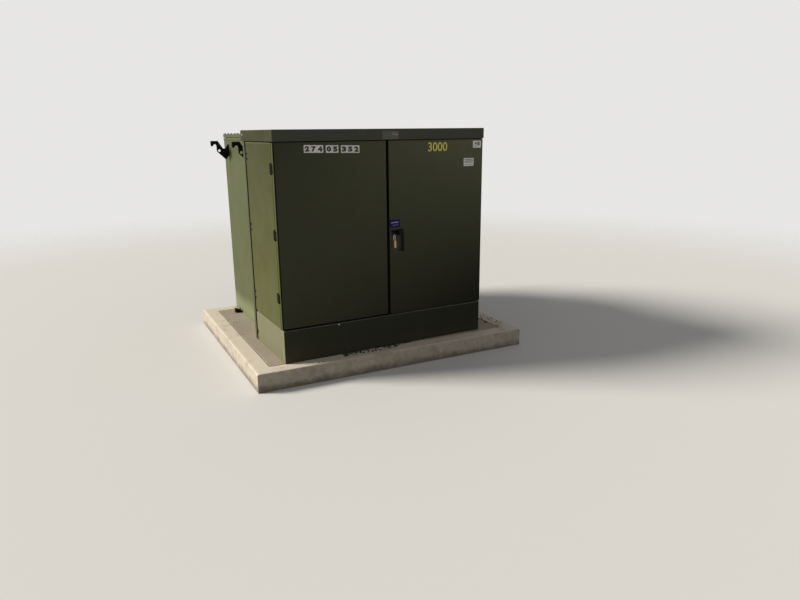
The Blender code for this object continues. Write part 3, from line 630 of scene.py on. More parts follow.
def makeCrumbs():
    chance = random.Random(crumbs["seed"])
    mesh = bmesh.new()
    for x0, x1, y0, y1, count in crumbs["patches"]:
        for n in range(count):
            x = chance.uniform(x0, x1)
            y = y1 - (y1 - y0) * chance.random() ** crumbs["crowding"]
            size = chance.uniform(*crumbs["size"]) * chance.uniform(0.6, 1.0)
            lump = bmesh.ops.create_icosphere(mesh, subdivisions=2, radius=size)
            stretch = Vector((chance.uniform(0.8, 1.7), chance.uniform(0.8, 1.4), chance.uniform(0.45, 0.75)))
            turn = Matrix.Rotation(chance.uniform(0, math.tau), 3, "Z")
            for vert in lump["verts"]:
                rough = 1 + 0.35 * noise.noise(vert.co / size * 1.7 + Vector((n, x, y)) * 5)
                vert.co = turn @ (vert.co * stretch * rough) + at(x, y, size * 0.25)
    addPiece("soilCrumbs", mesh, "soil", smooth=30)


makePad()
makeCrumbs()
print("pad made")


def arc(centre, radius, start, end, steps):
    angles = [math.radians(start + (end - start) * n / steps) for n in range(steps + 1)]
    return [(centre[0] + radius * math.cos(angle), centre[1] + radius * math.sin(angle)) for angle in angles]


def curveMesh(curve):
    # A curve or words as a mesh, in the curve's own place
    drawn = bpy.data.objects.new("drawn", curve)
    bpy.context.scene.collection.objects.link(drawn)
    bpy.context.view_layer.update()
    data = bpy.data.meshes.new_from_object(drawn.evaluated_get(bpy.context.evaluated_depsgraph_get()))
    bpy.data.objects.remove(drawn)
    mesh = bmesh.new()
    mesh.from_mesh(data)
    bpy.data.meshes.remove(data)
    return mesh


def flatText(name, text, left, low, width, tall, y, finish, body, bold):
    # Plain digits as raised paint, fitted to a box on the front
    curve = bpy.data.curves.new(name, "FONT")
    curve.body = text
    curve.extrude = 0.0003
    curve.offset = bold
    curve.resolution_u = 6
    mesh = curveMesh(curve)
    xs, ys = [vert.co.x for vert in mesh.verts], [vert.co.y for vert in mesh.verts]
    wider, taller = width / (max(xs) - min(xs)), tall / (max(ys) - min(ys))
    for vert in mesh.verts:
        across, up, out = vert.co
        vert.co = at(left + (across - min(xs)) * wider, y - out, low + (up - min(ys)) * taller)
    bmesh.ops.remove_doubles(mesh, verts=mesh.verts, dist=0.00001)
    addPiece(name, mesh, finish, body)


def faceCard(name, left, right, low, high, y, thickness, finish, body, rounding=0.003):
    # A thin card with rounded corners, flat on the front
    mesh = bmesh.new()
    outline = []
    for x, z, start in ((right - rounding, high - rounding, 0), (left + rounding, high - rounding, 90),
                        (left + rounding, low + rounding, 180), (right - rounding, low + rounding, 270)):
        outline += arc((x, z), rounding, start, start + 90, 4)
    loft(mesh, [[at(x, y, z) for x, z in outline], [at(x, y - thickness, z) for x, z in outline]])
    addPiece(name, mesh, finish, body, slot="")


# Number tiles and stencil on the doors, all with plain numbers
tiles = {"groups": (("274", 0.231), ("05", 0.404), ("352", 0.527)), "pitch": 0.0515, "width": 0.0500,
         "low": 1.6035, "tall": 0.0555, "slope": 0.0245, "thickness": 0.0009, "rounding": 0.0012,
         "digitWide": 0.74, "digitTall": 0.72, "digitLow": 0.14, "bold": 0.075}
stencil = {"text": "3000", "left": 1.293, "wide": 0.183, "low": 1.589, "tall": 0.072, "bold": 0.012}


def makeNumbers():
    count = 0
    for digits, start in tiles["groups"]:
        for place, digit in enumerate(digits):
            count += 1
            left = start + place * tiles["pitch"]
            low, tall = tiles["low"] - (left - tiles["groups"][0][1]) * tiles["slope"], tiles["tall"]
            faceCard("tile%d" % count, left, left + tiles["width"], low, low + tall, doorFace,
                     tiles["thickness"], "tileWhite", "door_left", tiles["rounding"])
            wide = tiles["width"] * tiles["digitWide"]
            flatText("tileDigit%d" % count, digit, left + (tiles["width"] - wide) / 2,
                     low + tall * tiles["digitLow"], wide, tall * tiles["digitTall"],
                     doorFace - tiles["thickness"], "digitBlack", "door_left", tiles["bold"])
    flatText("stencilNumber", stencil["text"], stencil["left"], stencil["low"], stencil["wide"],
             stencil["tall"], doorFace, "stencilYellow", "door_right", stencil["bold"])


# Labels and stickers: box, finish, body and finish of the bars. The bars stand for the lines of words that a
# real label carries: left, right, low, high in shares of the label
labels = {
    "cornerLabel": ((1.732, 1.814, 1.610, 1.667), "labelWhite", "door_right", "printGrey",
                    ((0.20, 0.50, 0.46, 0.78), (0.55, 0.84, 0.30, 0.84), (0.22, 0.46, 0.16, 0.30))),
    "linesLabel": ((1.641, 1.741, 1.462, 1.527), "labelWhite", "door_right", "printGrey",
                   ((0.08, 0.92, 0.78, 0.90), (0.08, 0.92, 0.58, 0.68), (0.08, 0.92, 0.42, 0.52),
                    (0.08, 0.92, 0.16, 0.24))),
    "blueSticker": ((0.933, 1.026, 0.995, 1.061), "stickerBlue", "door_right", "stickerPale",
                    ((0.14, 0.40, 0.54, 0.68), (0.44, 0.84, 0.57, 0.71), (0.30, 0.62, 0.27, 0.33),
                     (0.66, 0.80, 0.29, 0.35))),
    "hoodLabel": ((0.877, 1.017, 1.691, 1.753), "fadedLabel", "root", "fadedRed",
                  ((0.62, 0.74, 0.50, 0.78), (0.78, 0.96, 0.44, 0.70))),
}
labelThick, barThick = 0.0003, 0.0002


def makeLabels():
    for name, ((left, right, low, high), finish, body, barFinish, bars) in labels.items():
        face = hoodLow.y if body == "root" else doorFace
        faceCard(name, left, right, low, high, face, labelThick, finish, body)
        wide, tall, front = right - left, high - low, face - labelThick
        addBlocks(name + "Bars", [((left + wide * x0, front - barThick, low + tall * z0),
                                   (left + wide * x1, front, low + tall * z1), 0) for x0, x1, z0, z1 in bars],
                  barFinish, body)


makeNumbers()
makeLabels()
print("numbers and labels made")


# Seams between the cabinet and the tank: a black strip that stands for the shade in the seam, with bolts in
# pairs beside it on black rubber washers, whose dark rings also stand for the shade round the bolt heads
seam = {
    "out": 0.0030, "width": 0.0300, "back": -0.0380, "steps": 40, "wave": 0.0007,
    "boltSize": 0.0088, "washer": [(0.0190, 0), (0.0195, 0.0006), (0.0190, 0.0014)],
    "bolts": ((0.706, 1.587), (0.706, 1.549), (0.708, 1.019), (0.708, 0.972), (0.710, 0.443), (0.710, 0.386),
              (0.712, 0.273), (0.712, 0.082)),
    "hoodBolt": (0.756, 1.732), "hoodBoltSize": 0.0065,
    "sillScrew": (0.461, 0.254), "screw": [(0.0062, 0), (0.0060, 0.0016), (0.0042, 0.0030), (0.0015, 0.0034)],
}


def makeSeams():
    middle, half = (plateLow.y + plateHigh.y) / 2 + seam["back"], seam["width"] / 2
    section = [(-half, 0), (-half * 0.8, 0.7), (0, 1), (half * 0.8, 0.7), (half, 0), (0, -0.1)]
    for hand, (face, out) in sides.items():
        rings = []
        for n in range(seam["steps"] + 1):
            z = 0.002 + (hoodLow.z - 0.003) * n / seam["steps"]
            wave = seam["wave"] * noise.noise(Vector((face * 3, 1, z * 9)))
            rings.append([at(face + out * (seam["out"] * rise), middle + wave + y, z) for y, rise in section])
        mesh = bmesh.new()
        loft(mesh, rings)
        addPiece("seamSeal_" + hand, mesh, "darkGap")
        mesh, washers, hoodBolt = bmesh.new(), bmesh.new(), bmesh.new()
        for y, z in seam["bolts"]:
            turned(washers, at(face, y, z), (out, 0, 0), seam["washer"])
            hexBolt(mesh, at(face + out * 0.0012, y, z), (out, 0, 0), seam["boltSize"])
        addPiece("seamBolts_" + hand, mesh, "blackSmall", smooth=25)
        addPiece("seamWashers_" + hand, washers, "rubber", smooth=25)
        side = hoodLow.x if hand == "left" else hoodHigh.x
        hexBolt(hoodBolt, at(side, *seam["hoodBolt"]), (out, 0, 0), seam["hoodBoltSize"])
        addPiece("hoodBolt_" + hand, hoodBolt, "zincSteel", smooth=25)
    mesh = bmesh.new()
    x, z = seam["sillScrew"]
    turned(mesh, at(x, 0, z), towardsFront, seam["screw"], 20)
    addPiece("sillScrew", mesh, "zincSteel")


makeSeams()
print("seams made")


# Painted shade and highlights: black strips for the shade under the hood's side lips, with a pale strip below
# as a painted highlight on the bend of the side sheet, and black strips for the shade along the doors: in the
# gap between them, on their outer returns, beside the hinges, under the hood and at the foot
strips = {
    "shadeStrip": 0.0045, "shadeStripBelow": 0.0075, "shadeStripAbove": 0.020, "shadeStripFront": 0.030, "shadeStripRear": 0.075,
    "bend": 0.0007, "bendTall": 0.0060, "bendGap": 0.0015, "sillBend": 0.0006, "sillBendTall": 0.0070,
    "gap": 0.0003, "gapLip": 0.0165, "gapDeep": 0.0200, "proud": 0.0007, "endClear": 0.001,
    "returnFront": -0.0006, "returnBack": 0.0240, "turn": 0.0030,
    "door": (0.0400, 0.0565), "jamb": (0.1000, 0.1120),
    "foot": 0.0100, "footInset": 0.0040, "hoodFront": (-0.0048, 0.0100), "hoodClear": 0.0006,
}


def makeStrips():
    s = strips
    doorLow, doorHigh = localBox("door_left")
    foot, top = doorLow.z + s["endClear"], doorHigh.z - s["endClear"]
    for hand, (face, out) in sides.items():
        near, far = sorted((face + out * 0.0002, face + out * s["shadeStrip"]))
        shadeStripLow = hoodLow.z - s["shadeStripBelow"]
        shadeStripEnd = (far, hoodHigh.y - s["shadeStripRear"], hoodLow.z + s["shadeStripAbove"])
        addBlocks("hoodStrip_" + hand, [((near, s["shadeStripFront"], shadeStripLow), shadeStripEnd, 0.0012)], "darkGap")
        near, far = sorted((face, face + out * s["bend"]))
        bendTop, bendFront = shadeStripLow - s["bendGap"], localBox("side_" + hand)[0].y + 0.001
        addBlocks("sideBend_" + hand, [((near, bendFront, bendTop - s["bendTall"]),
                                        (far, plateLow.y - 0.004, bendTop), 0.0003)], "sideEdge")
        near, far = sorted((face, face + out * s["proud"]))
        wrapNear, wrapFar = sorted((face + out * s["proud"], face - out * s["turn"]))
        boxes = [((near, s["returnFront"], foot), (far, s["returnBack"], top), 0.0002),
                 ((wrapNear, s["returnFront"], foot), (wrapFar, 0.0, top), 0.0002)]
        addBlocks("returnStrip_" + hand, boxes, "darkGap", "door_" + hand)
        # Painted shade: black plates over the hinge slots, for the shade in them
        for count in (1, 2, 3):
            halves = [localBox("hinge_%s_%d_%s" % (hand, count, half)) for half in ("door", "jamb")]
            low, high = min(box[0].z for box in halves), max(box[1].z for box in halves)
            for half, body in (("door", "door_" + hand), ("jamb", "root")):
                addBlocks("hingePlate_%s_%d_%s" % (hand, count, half),
                          [((near, s[half][0], low), (far, s[half][1], high), 0.0002)], "darkGap", body)
    edge = localBox("door_right")[0].x
    boxes = [((cabinetMiddle + s["gap"], 0.0012, foot), (edge, s["gapDeep"], top), 0.0008),
             ((edge - 0.0008, -s["proud"], foot), (cabinetMiddle + s["gapLip"], 0.0, top), 0.0003)]
    addBlocks("gapStrip", boxes, "darkGap", "door_right")
    addBlocks("footStrip", [((doorLow.x + s["footInset"], -s["proud"], doorLow.z),
                             (doorHigh.x - s["footInset"], 0.0, doorLow.z + s["foot"]), 0.0003)],
              "darkGap", "door_left")
    front, back = s["hoodFront"]
    boxes = [((s["footInset"], front, doorHigh.z + s["hoodClear"]),
              (cabinetWidth - s["footInset"], back, hoodLow.z - 0.0001), 0.0004)]
    addBlocks("hoodFrontStrip", boxes, "darkGap")
    # Painted highlight: a pale strip along the top of the front sill, where its bend catches the light
    low, high = localBox("sill_front")
    addBlocks("sillEdge", [((low.x + 0.002, -s["sillBend"], high.z - s["sillBendTall"]),
                            (high.x - 0.002, 0.0, high.z - 0.0004), 0.0003)], "sillEdge")


makeStrips()
print("strips made")


# Flat plates with holes and rounded rims, drawn as filled curves
def drawPlate(outlines, thickness, rounding, place):
    curve = bpy.data.curves.new("plate", "CURVE")
    curve.dimensions = "2D"
    curve.fill_mode = "BOTH"
    curve.extrude = thickness / 2 - rounding
    curve.bevel_depth = rounding
    curve.bevel_resolution = 1
    curve.offset = -rounding
    for outline in outlines:
        spline = curve.splines.new("POLY")
        spline.points.add(len(outline) - 1)
        for point, (x, y) in zip(spline.points, outline):
            point.co = (x, y, 0, 1)
        spline.use_cyclic_u = True
    mesh = curveMesh(curve)
    bmesh.ops.remove_doubles(mesh, verts=mesh.verts, dist=0.00001)
    for vert in mesh.verts:
        vert.co = place(vert.co)
    return mesh


# Lifting hooks: flame-cut plate with a saddle, a horn and an eye, welded to the tank down both faces.
# Places are shares of the hook's reach and of its height from the top
hook = {
    "root": ((0.215, 0.985), (0.190, 1), (0.165, 0.985), (0, 0.77), (0, 0.20), (0.03, 0.175), (0.07, 0.205)),
    "saddle": (0.262, 0.305, 0.110, 211, 325),
    "horn": ((0.600, 0.012), (0.625, 0), (0.985, 0), (1, 0.02), (1, 0.21), (0.975, 0.275), (0.940, 0.302),
             (0.905, 0.280)),
    "throat": (0.771, 0.264, 0.086, 30, 190),
    "elbow": ((0.677, 0.351), (0.677, 0.493), (0.668, 0.545), (0.645, 0.585)),
    "eye": (0.538, 0.521),
    "eyeRadius": 0.0125,
    "thickness": 0.0185,
    "rim": 0.0022,
    "weld": 0.0050,
    "weldShares": (0.76, 0.21),
}


def hookOutlines(reach, top, tall):
    def point(across, down):
        return reach * across, top - tall * down

    def sweep(across, down, radius, start, end):
        return arc(point(across, down), tall * radius, start, end, 14)

    outline = [point(*share) for share in hook["root"]] + sweep(*hook["saddle"])
    outline += [point(*share) for share in hook["horn"]] + sweep(*hook["throat"])
    outline += [point(*share) for share in hook["elbow"]]
    return outline, arc(point(*hook["eye"]), hook["eyeRadius"], 0, 350, 24)


def makeHook(hand, end, wall, out):
    node = "lifting_hook_%s_%s" % (hand, end)
    low, high = localBox(node)
    tall, middle = high.z - low.z, (low.y + high.y) / 2
    mesh = drawPlate(hookOutlines(high.x - low.x, high.z, tall), hook["thickness"], hook["rim"],
                     lambda co: at(wall + out * (co.x + 0.0003), middle + co.z, co.y))
    addPiece("liftingHook_%s_%s" % (hand, end), mesh, "black", stands=[node], smooth=40)
    mesh = bmesh.new()
    for side in (-1, 1):
        y = middle + side * (hook["thickness"] / 2 + hook["weld"] * 0.25)
        ends = [at(wall + out * 0.0020, y, high.z - tall * share) for share in hook["weldShares"]]
        weldBead(mesh, *ends, hook["weld"])
    addPiece("hookWeld_%s_%s" % (hand, end), mesh, "black", smooth=60)


# Hold-down cleats: each gets its anchor nut, washer and stud, and a cheek at both ends
cleat = {"size": 0.011, "stud": 0.0062, "studTall": 0.030, "out": 0.021, "rise": 0.0140, "cheek": 0.0060,
         "clear": 0.0006, "crest": 0.0120, "bevel": 0.0008}


def makeCleat(hand, end, wall, out):
    low, high = localBox("cleat_%s_%s" % (hand, end))
    spot = at(wall + out * cleat["out"], (low.y + high.y) / 2, cleat["rise"])
    stud, tall = cleat["stud"], cleat["studTall"]
    mesh = bmesh.new()
    hexBolt(mesh, spot, upwards, cleat["size"])
    turned(mesh, spot, upwards, [(stud, 0), (stud, tall - 0.001), (stud * 0.8, tall)], 16)
    addPiece("cleatBolt_%s_%s" % (hand, end), mesh, "blackSmall", smooth=25)
    mesh = bmesh.new()
    reach, clear = high.x - low.x, cleat["clear"]
    outline = [(clear, clear), (reach - 0.0004, clear), (reach - 0.0004, high.z - 0.0010),
               (reach - cleat["crest"], high.z - 0.0002), (0.0010, cleat["rise"] - 0.0050)]
    for first in (low.y, high.y - cleat["cheek"]):
        loft(mesh, [[at(wall + out * away, first + deep, z) for away, z in outline]
                    for deep in (0.0002, cleat["cheek"])])
    addPiece("cleatCheeks_%s_%s" % (hand, end), mesh, "black", smooth=25, bevel=cleat["bevel"])


for hand, (_, out) in sides.items():
    for end in ("front", "rear"):
        makeHook(hand, end, tankWalls[hand], out)
        makeCleat(hand, end, tankWalls[hand], out)
print("hooks and cleats made")


# Tank: the flange under the cover, cover bolts, welds and the bolted handhole cover
tankTrim = {
    "flangeTall": 0.024, "flangeOut": 0.0018, "corner": 0.012,
    "boltInset": 0.017, "boltPitch": 0.115, "boltSize": 0.0085, "boltClear": 0.030,
    "weld": 0.0048, "footWeld": 0.0060, "footRipple": 0.016,
    "lidInset": 0.022, "lidBolts": (6, 4), "lidBoltSize": 0.0085, "lidGasket": 0.003, "gasketInset": 0.004,
}


def tankPath(out):
    # Round the three free sides of the tank, with its bent corners
    left, right, rear, radius = tankLow.x - out, tankHigh.x + out, tankHigh.y + out, tankTrim["corner"] + out
    path = [(left, tankLow.y + 0.002)] + arc((left + radius, rear - radius), radius, 180, 90, 6)
    return path + arc((right - radius, rear - radius), radius, 90, 0, 6) + [(right, tankLow.y + 0.002)]


def band(mesh, inner, outer, low, high, rounding=0.0015):
    # A flat bar bent round a path, its outer corners eased
    rings = []
    for back, front in zip(inner, outer):
        back, front = Vector(back), Vector(front)
        ease = (back - front).normalized() * rounding
        section = [(back, low), (front + ease, low), (front, low + rounding), (front, high - rounding),
                   (front + ease, high), (back, high)]
        rings.append([at(flat.x, flat.y, z) for flat, z in section])
    loft(mesh, rings)


def evenSteps(first, last, count):
    # Even steps from first to last, with both
    return [first + (last - first) * n / (count - 1) for n in range(count)]


def boltRow(mesh, spots, z, size):
    for x, y in spots:
        hexBolt(mesh, at(x, y, z), upwards, size)


def makeTankTrim():
    t = tankTrim
    mesh = bmesh.new()
    top = tankHigh.z - 0.0005
    band(mesh, tankPath(-0.004), tankPath(t["flangeOut"]), top - t["flangeTall"], top)
    addPiece("tankFlange", mesh, "tank", smooth=50)
    inset = t["boltInset"]
    left, right = coverLow.x + inset, coverHigh.x - inset
    rear, first = coverHigh.y - inset, hoodHigh.y + t["boltClear"]
    rows = round((rear - first) / t["boltPitch"]) + 1
    columns = round((right - left) / t["boltPitch"]) + 1
    mesh = bmesh.new()
    spots = [(x, y) for y in evenSteps(first, rear, rows) for x in (left, right)]
    spots += [(x, rear) for x in evenSteps(left, right, columns)[1:-1]]
    boltRow(mesh, spots, coverHigh.z, t["boltSize"])
    addPiece("coverBolts", mesh, "tank", smooth=25)
    mesh = bmesh.new()
    for hand, (_, out) in sides.items():
        x, y = tankWalls[hand] + out * 0.001, plateHigh.y + 0.002
        weldBead(mesh, at(x, y, 0.010), at(x, y, tankHigh.z - 0.03), t["weld"])
        weldBead(mesh, at(x, tankLow.y + 0.02, 0.003), at(x, tankHigh.y - 0.012, 0.003), t["footWeld"],
                 t["footRipple"])
    y = tankHigh.y + 0.001
    weldBead(mesh, at(tankLow.x + 0.012, y, 0.003), at(tankHigh.x - 0.012, y, 0.003), t["footWeld"],
             t["footRipple"])
    addPiece("tankWelds", mesh, "tank", smooth=60)
    # Handhole cover on its gasket, with bolts all round
    low, high = localBox("handhole_cover")
    seat, inset, under = low.z - 0.0001 + t["lidGasket"], t["lidInset"], t["gasketInset"]
    addBlocks("handholeGasket", [((low.x + under, low.y + under, low.z),
                                  (high.x - under, high.y - under, seat), 0)], "rubber")
    mesh = bmesh.new()
    block(mesh, at(low.x, low.y, seat), at(*high), 0.0020)
    left, right, front, back = low.x + inset, high.x - inset, low.y + inset, high.y - inset
    across, along = t["lidBolts"]
    spots = [(x, y) for x in evenSteps(left, right, across) for y in (front, back)]
    spots += [(x, y) for y in evenSteps(front, back, along)[1:-1] for x in (left, right)]
    boltRow(mesh, spots, high.z, t["lidBoltSize"])
    addPiece("handholeCover", mesh, "tank", stands=["handhole_cover"], smooth=25)


makeTankTrim()
print("tank trim made")


# Radiators: pressed fins with rounded flutes, domed headers, flanged stubs and tie bars
radiator = {
    "fins": 8, "flutes": 5, "web": 0.0022, "swell": 0.0098, "taper": 0.060, "edge": 0.012, "samples": 46,
    "front": 0.080, "headerRadius": 0.036, "headerBack": 0.070, "headerDrop": 0.110, "dome": 0.012,
    "stubInset": 0.090, "stub": [(0.036, 0), (0.031, 0.006), (0.030, 0.010), (0.030, 0.070)],
    "flange": [(0.049, 0), (0.050, 0.001), (0.050, 0.0085), (0.049, 0.0095)], "flanges": (0.016, 0.0265),
    "nutCircle": 0.041, "nutRadius": 0.0062, "nuts": ((0.0100, 0.0062), (0.0360, 0.0055)),
    "plug": [(0.0090, 0), (0.0090, 0.010), (0.0075, 0.012)],
    "tieDrop": (0.30, 0.72), "tieTall": 0.025, "tieThick": 0.005,
}


def finRings(x, front, back, low, high):
    samples, depth, tall, edge = radiator["samples"], back - front, high - low, radiator["edge"]
    levels = [0.0, edge] + [radiator["taper"] * n / 5 for n in range(1, 6)]
    levels = levels + [tall / 2] + [tall - level for level in reversed(levels)]
    rings = []
    for level in levels:
        rise = max(0.0, min(1.0, (min(level, tall - level) - edge) / (radiator["taper"] - edge)))
        rise = rise * rise * (3 - 2 * rise)
        half = []
        for n in range(samples + 1):
            share = n / samples
            wave = 0.5 - 0.5 * math.cos(math.tau * radiator["flutes"] * min(1, max(0, (share - 0.03) / 0.94)))
            wave = min(1.0, wave * 1.35)
            thick = radiator["web"] + (radiator["swell"] - radiator["web"]) * wave * rise
            half.append((thick, front + depth * share))
        rings.append([at(x + thick, y, low + level) for thick, y in half]
                     + [at(x - thick, y, low + level) for thick, y in reversed(half)])
    return rings


def around(place, degrees, radius, out=0.0):
    # A point on a circle that faces the front
    angle = math.radians(degrees)
    return place + Vector((math.cos(angle) * radius, -out, math.sin(angle) * radius))


def makeRadiator(count):
    r, node, rear = radiator, "radiator_%d" % count, tankHigh.y
    low, high = localBox(node)
    length, pitch = high.x - low.x, (high.x - low.x) / r["fins"]
    mesh = bmesh.new()
    for n in range(r["fins"]):
        loft(mesh, finRings(low.x + pitch * (n + 0.5), rear + r["front"], high.y, low.z, high.z))
    addPiece("radiatorFins_%d" % count, mesh, "radiator", stands=[node], smooth=50)
    mesh = bmesh.new()
    back, radius, towardsRear = rear + r["headerBack"], r["headerRadius"], (0, 1, 0)
    dome = [(radius * math.cos(math.radians(a)), r["dome"] * (1 - math.sin(math.radians(a))))
            for a in (80, 60, 40, 20, 0)]
    header = dome + [(radius, length * 0.5)] + [(wide, length - far) for wide, far in reversed(dome)]
    for level in (low.z + r["headerDrop"], high.z - r["headerDrop"]):
        turned(mesh, at(low.x, back, level), (1, 0, 0), header, 28)
        for x in (low.x + r["stubInset"], high.x - r["stubInset"]):
            turned(mesh, at(x, rear + 0.0004, level), towardsRear, r["stub"], 28)
            for far in r["flanges"]:
                turned(mesh, at(x, rear + far, level), towardsRear, r["flange"], 32)
            for n in range(4):
                for far, tall in r["nuts"]:
                    spot = around(at(x, rear + far, level), 45 + 90 * n, r["nutCircle"])
                    turned(mesh, spot, towardsRear, [(r["nutRadius"], 0), (r["nutRadius"], tall)], 6)
        turned(mesh, at(high.x - 0.03, back, level - radius + 0.002), (0, 0, -1), r["plug"], 6)
    addPiece("radiatorHeaders_%d" % count, mesh, "radiator", smooth=35)
    ties = []
    for share in r["tieDrop"]:
        z = high.z - (high.z - low.z) * share
        ties.append(((low.x + pitch * 0.15, high.y - r["tieThick"], z - r["tieTall"] / 2),
                     (high.x - pitch * 0.15, high.y, z + r["tieTall"] / 2), 0.0012))
    addBlocks("radiatorTies_%d" % count, ties, "radiator")


for count in (1, 2, 3):
    makeRadiator(count)
print("radiators made")


# High-voltage bushings: a clamped flange, a stepped body and a rubber insert with a ribbed collar, and below
# each the bracket that a cable end is parked on
highBushing = {
    "flange": [(0.058, 0), (0.062, 0.002), (0.062, 0.012), (0.060, 0.014)],
    "body": [(0.046, 0.013), (0.047, 0.016), (0.046, 0.052), (0.043, 0.056)],
    "insert": [(0.035, 0.054), (0.0355, 0.060), (0.0330, 0.063), (0.0355, 0.066), (0.0330, 0.069),
               (0.0355, 0.072), (0.0300, 0.078), (0.0225, 0.130), (0.0205, 0.146), (0.0180, 0.150)],
    "nutCircle": 0.053, "nutOut": 0.014, "nut": [(0.0070, 0), (0.0070, 0.0055), (0.00595, 0.0065)],
    "studOut": 0.020, "stud": [(0.0035, 0), (0.0035, 0.005), (0.0028, 0.006)],
    "standDrop": 0.175, "standWide": 0.046, "standTall": 0.060, "standReach": 0.052, "sheet": 0.004,
    "lipShare": 0.55,
}
# Low-voltage bushings: skirted epoxy on a clamped flange, with a drilled spade
lowBushing = {
    "flange": [(0.056, 0), (0.060, 0.002), (0.060, 0.013), (0.058, 0.015)],
    "skirts": [(0.034, 0.014), (0.038, 0.020), (0.0400, 0.024), (0.0400, 0.030), (0.033, 0.036),
               (0.031, 0.046), (0.0390, 0.053), (0.0395, 0.058), (0.030, 0.066), (0.029, 0.080),
               (0.0280, 0.100), (0.026, 0.116), (0.022, 0.120)],
    "nutCircle": 0.050, "nutOut": 0.015, "nut": [(0.0070, 0), (0.0070, 0.0055), (0.0060, 0.0065)],
    "stem": [(0.020, 0), (0.020, 0.004), (0.017, 0.012)], "stemOut": 0.117,
    "spadeHalf": 0.045, "spadeRoot": 0.106, "spadeCorner": 0.008, "spadeThick": 0.0135,
    "holes": (0.022, 0.054, 0.086), "holeRise": 0.022, "holeRadius": 0.0071,
}


def platePlace(node):
    low, high = localBox(node)
    return Vector(((low.x + high.x) / 2, plateLow.y, (low.z + high.z) / 2))


def turnedPiece(name, place, profiles, steps, finish, **settings):
    mesh = bmesh.new()
    for profile in profiles:
        turned(mesh, place, towardsFront, profile, steps)
    addPiece(name, mesh, finish, **settings)


def makeHighBushing(count):
    b, node = highBushing, "hv_bushing_%d" % count
    spot = platePlace(node)
    place = at(*spot) - Vector((0, 0.0003, 0))
    turnedPiece("highBushing_%d" % count, place, (b["body"], b["insert"]), 40, "rubber",
                stands=[node], smooth=40)
    mesh = bmesh.new()
    turned(mesh, place, towardsFront, b["flange"], 40)
    for n in range(6):
        turned(mesh, around(place, 60 * n, b["nutCircle"], b["nutOut"]), towardsFront, b["nut"], 6)
        turned(mesh, around(place, 60 * n, b["nutCircle"], b["studOut"]), towardsFront, b["stud"], 12)
    addPiece("highFlange_%d" % count, mesh, "zincSteel", smooth=30)
    z, half, front, sheet = spot.z - b["standDrop"], b["standWide"] / 2, spot.y - b["standReach"], b["sheet"]
    stand = []
    for left in (spot.x - half, spot.x + half - sheet):
        stand.append(((left, front, z), (left + sheet, spot.y - 0.0004, z + b["standTall"]), 0.001))
    lipTop = z + b["standTall"] * b["lipShare"]
    stand.append(((spot.x - half, front, z), (spot.x + half, front + sheet, lipTop), 0.001))
    addBlocks("parkingStand_%d" % count, stand, "zincSteel", smooth=30)


def makeLowBushing(count):
    b, node = lowBushing, "lv_bushing_%d" % count
    spot = platePlace(node)
    place = at(*spot) - Vector((0, 0.0003, 0))
    turnedPiece("lowBushing_%d" % count, place, [b["skirts"]], 40, "epoxy", stands=[node], smooth=40)
    mesh = bmesh.new()
    turned(mesh, place, towardsFront, b["flange"], 40)
    for n in range(6):
        turned(mesh, around(place, 60 * n, b["nutCircle"], b["nutOut"]), towardsFront, b["nut"], 6)
    addPiece("lowFlange_%d" % count, mesh, "zincSteel", smooth=30)
    tip, half, radius = localBox(node)[0].y, b["spadeHalf"], b["spadeCorner"]
    root = plateLow.y - b["spadeRoot"] - 0.018
    outline = [(tip, radius - half)] + arc((tip + radius, radius - half), radius, 180, 270, 4)
    outline += [(root, -half)] + arc((root, 0), half, -60, 60, 8) + [(root, half)]
    outline += arc((tip + radius, half - radius), radius, 90, 180, 4)
    holes = [arc((tip + along, side * b["holeRise"]), b["holeRadius"], 0, 345, 23)
             for along in b["holes"] for side in (-1, 1)]
    mesh = drawPlate([outline] + holes, b["spadeThick"], 0.0010,
                     lambda co: at(spot.x + co.z, co.x, spot.z + co.y))
    turned(mesh, place - Vector((0, b["stemOut"], 0)), towardsFront, b["stem"], 24)
    addPiece("lowSpade_%d" % count, mesh, "tinnedCopper", smooth=40)


# Level gauge with a plain dial, a drain valve with a handwheel and a tap changer with a pointer
gauge = {
    "case": [(0.0448, 0), (0.0448, 0.012), (0.056, 0.016), (0.056, 0.036), (0.053, 0.038)],
    "depth": 0.040, "bezel": 0.0515, "bezelThick": 0.0040, "face": 0.047, "ticks": 9,
    "needle": ((-0.004, -0.008), (0.018, 0.030)), "needleThick": 0.0011,
}
valve = {
    "body": [(0.042, 0), (0.042, 0.008), (0.030, 0.010), (0.022, 0.016), (0.021, 0.026), (0.030, 0.034),
             (0.034, 0.046), (0.030, 0.058), (0.020, 0.066), (0.018, 0.074)],
    "nut": [(0.019, 0), (0.019, 0.012), (0.017, 0.014)], "nutOut": 0.073,
    "outlet": [(0.020, 0.020), (0.020, 0.040), (0.024, 0.041), (0.024, 0.041), (0.022, 0.0418)],
    "outletOut": 0.046,
    "wheel": 0.033, "wheelThick": 0.0042, "wheelOut": 0.092,
    "hub": [(0.008, 0), (0.009, 0.002), (0.008, 0.012), (0.004, 0.015)],
}
tapChanger = {
    "body": [(0.038, 0), (0.038, 0.010), (0.034, 0.016), (0.018, 0.022), (0.016, 0.030), (0.016, 0.046),
             (0.013, 0.050)],
    "knob": ((-0.007, -0.060, -0.034), (0.007, -0.040, 0.026)),
    "marks": 5, "markCircle": 0.048,
}


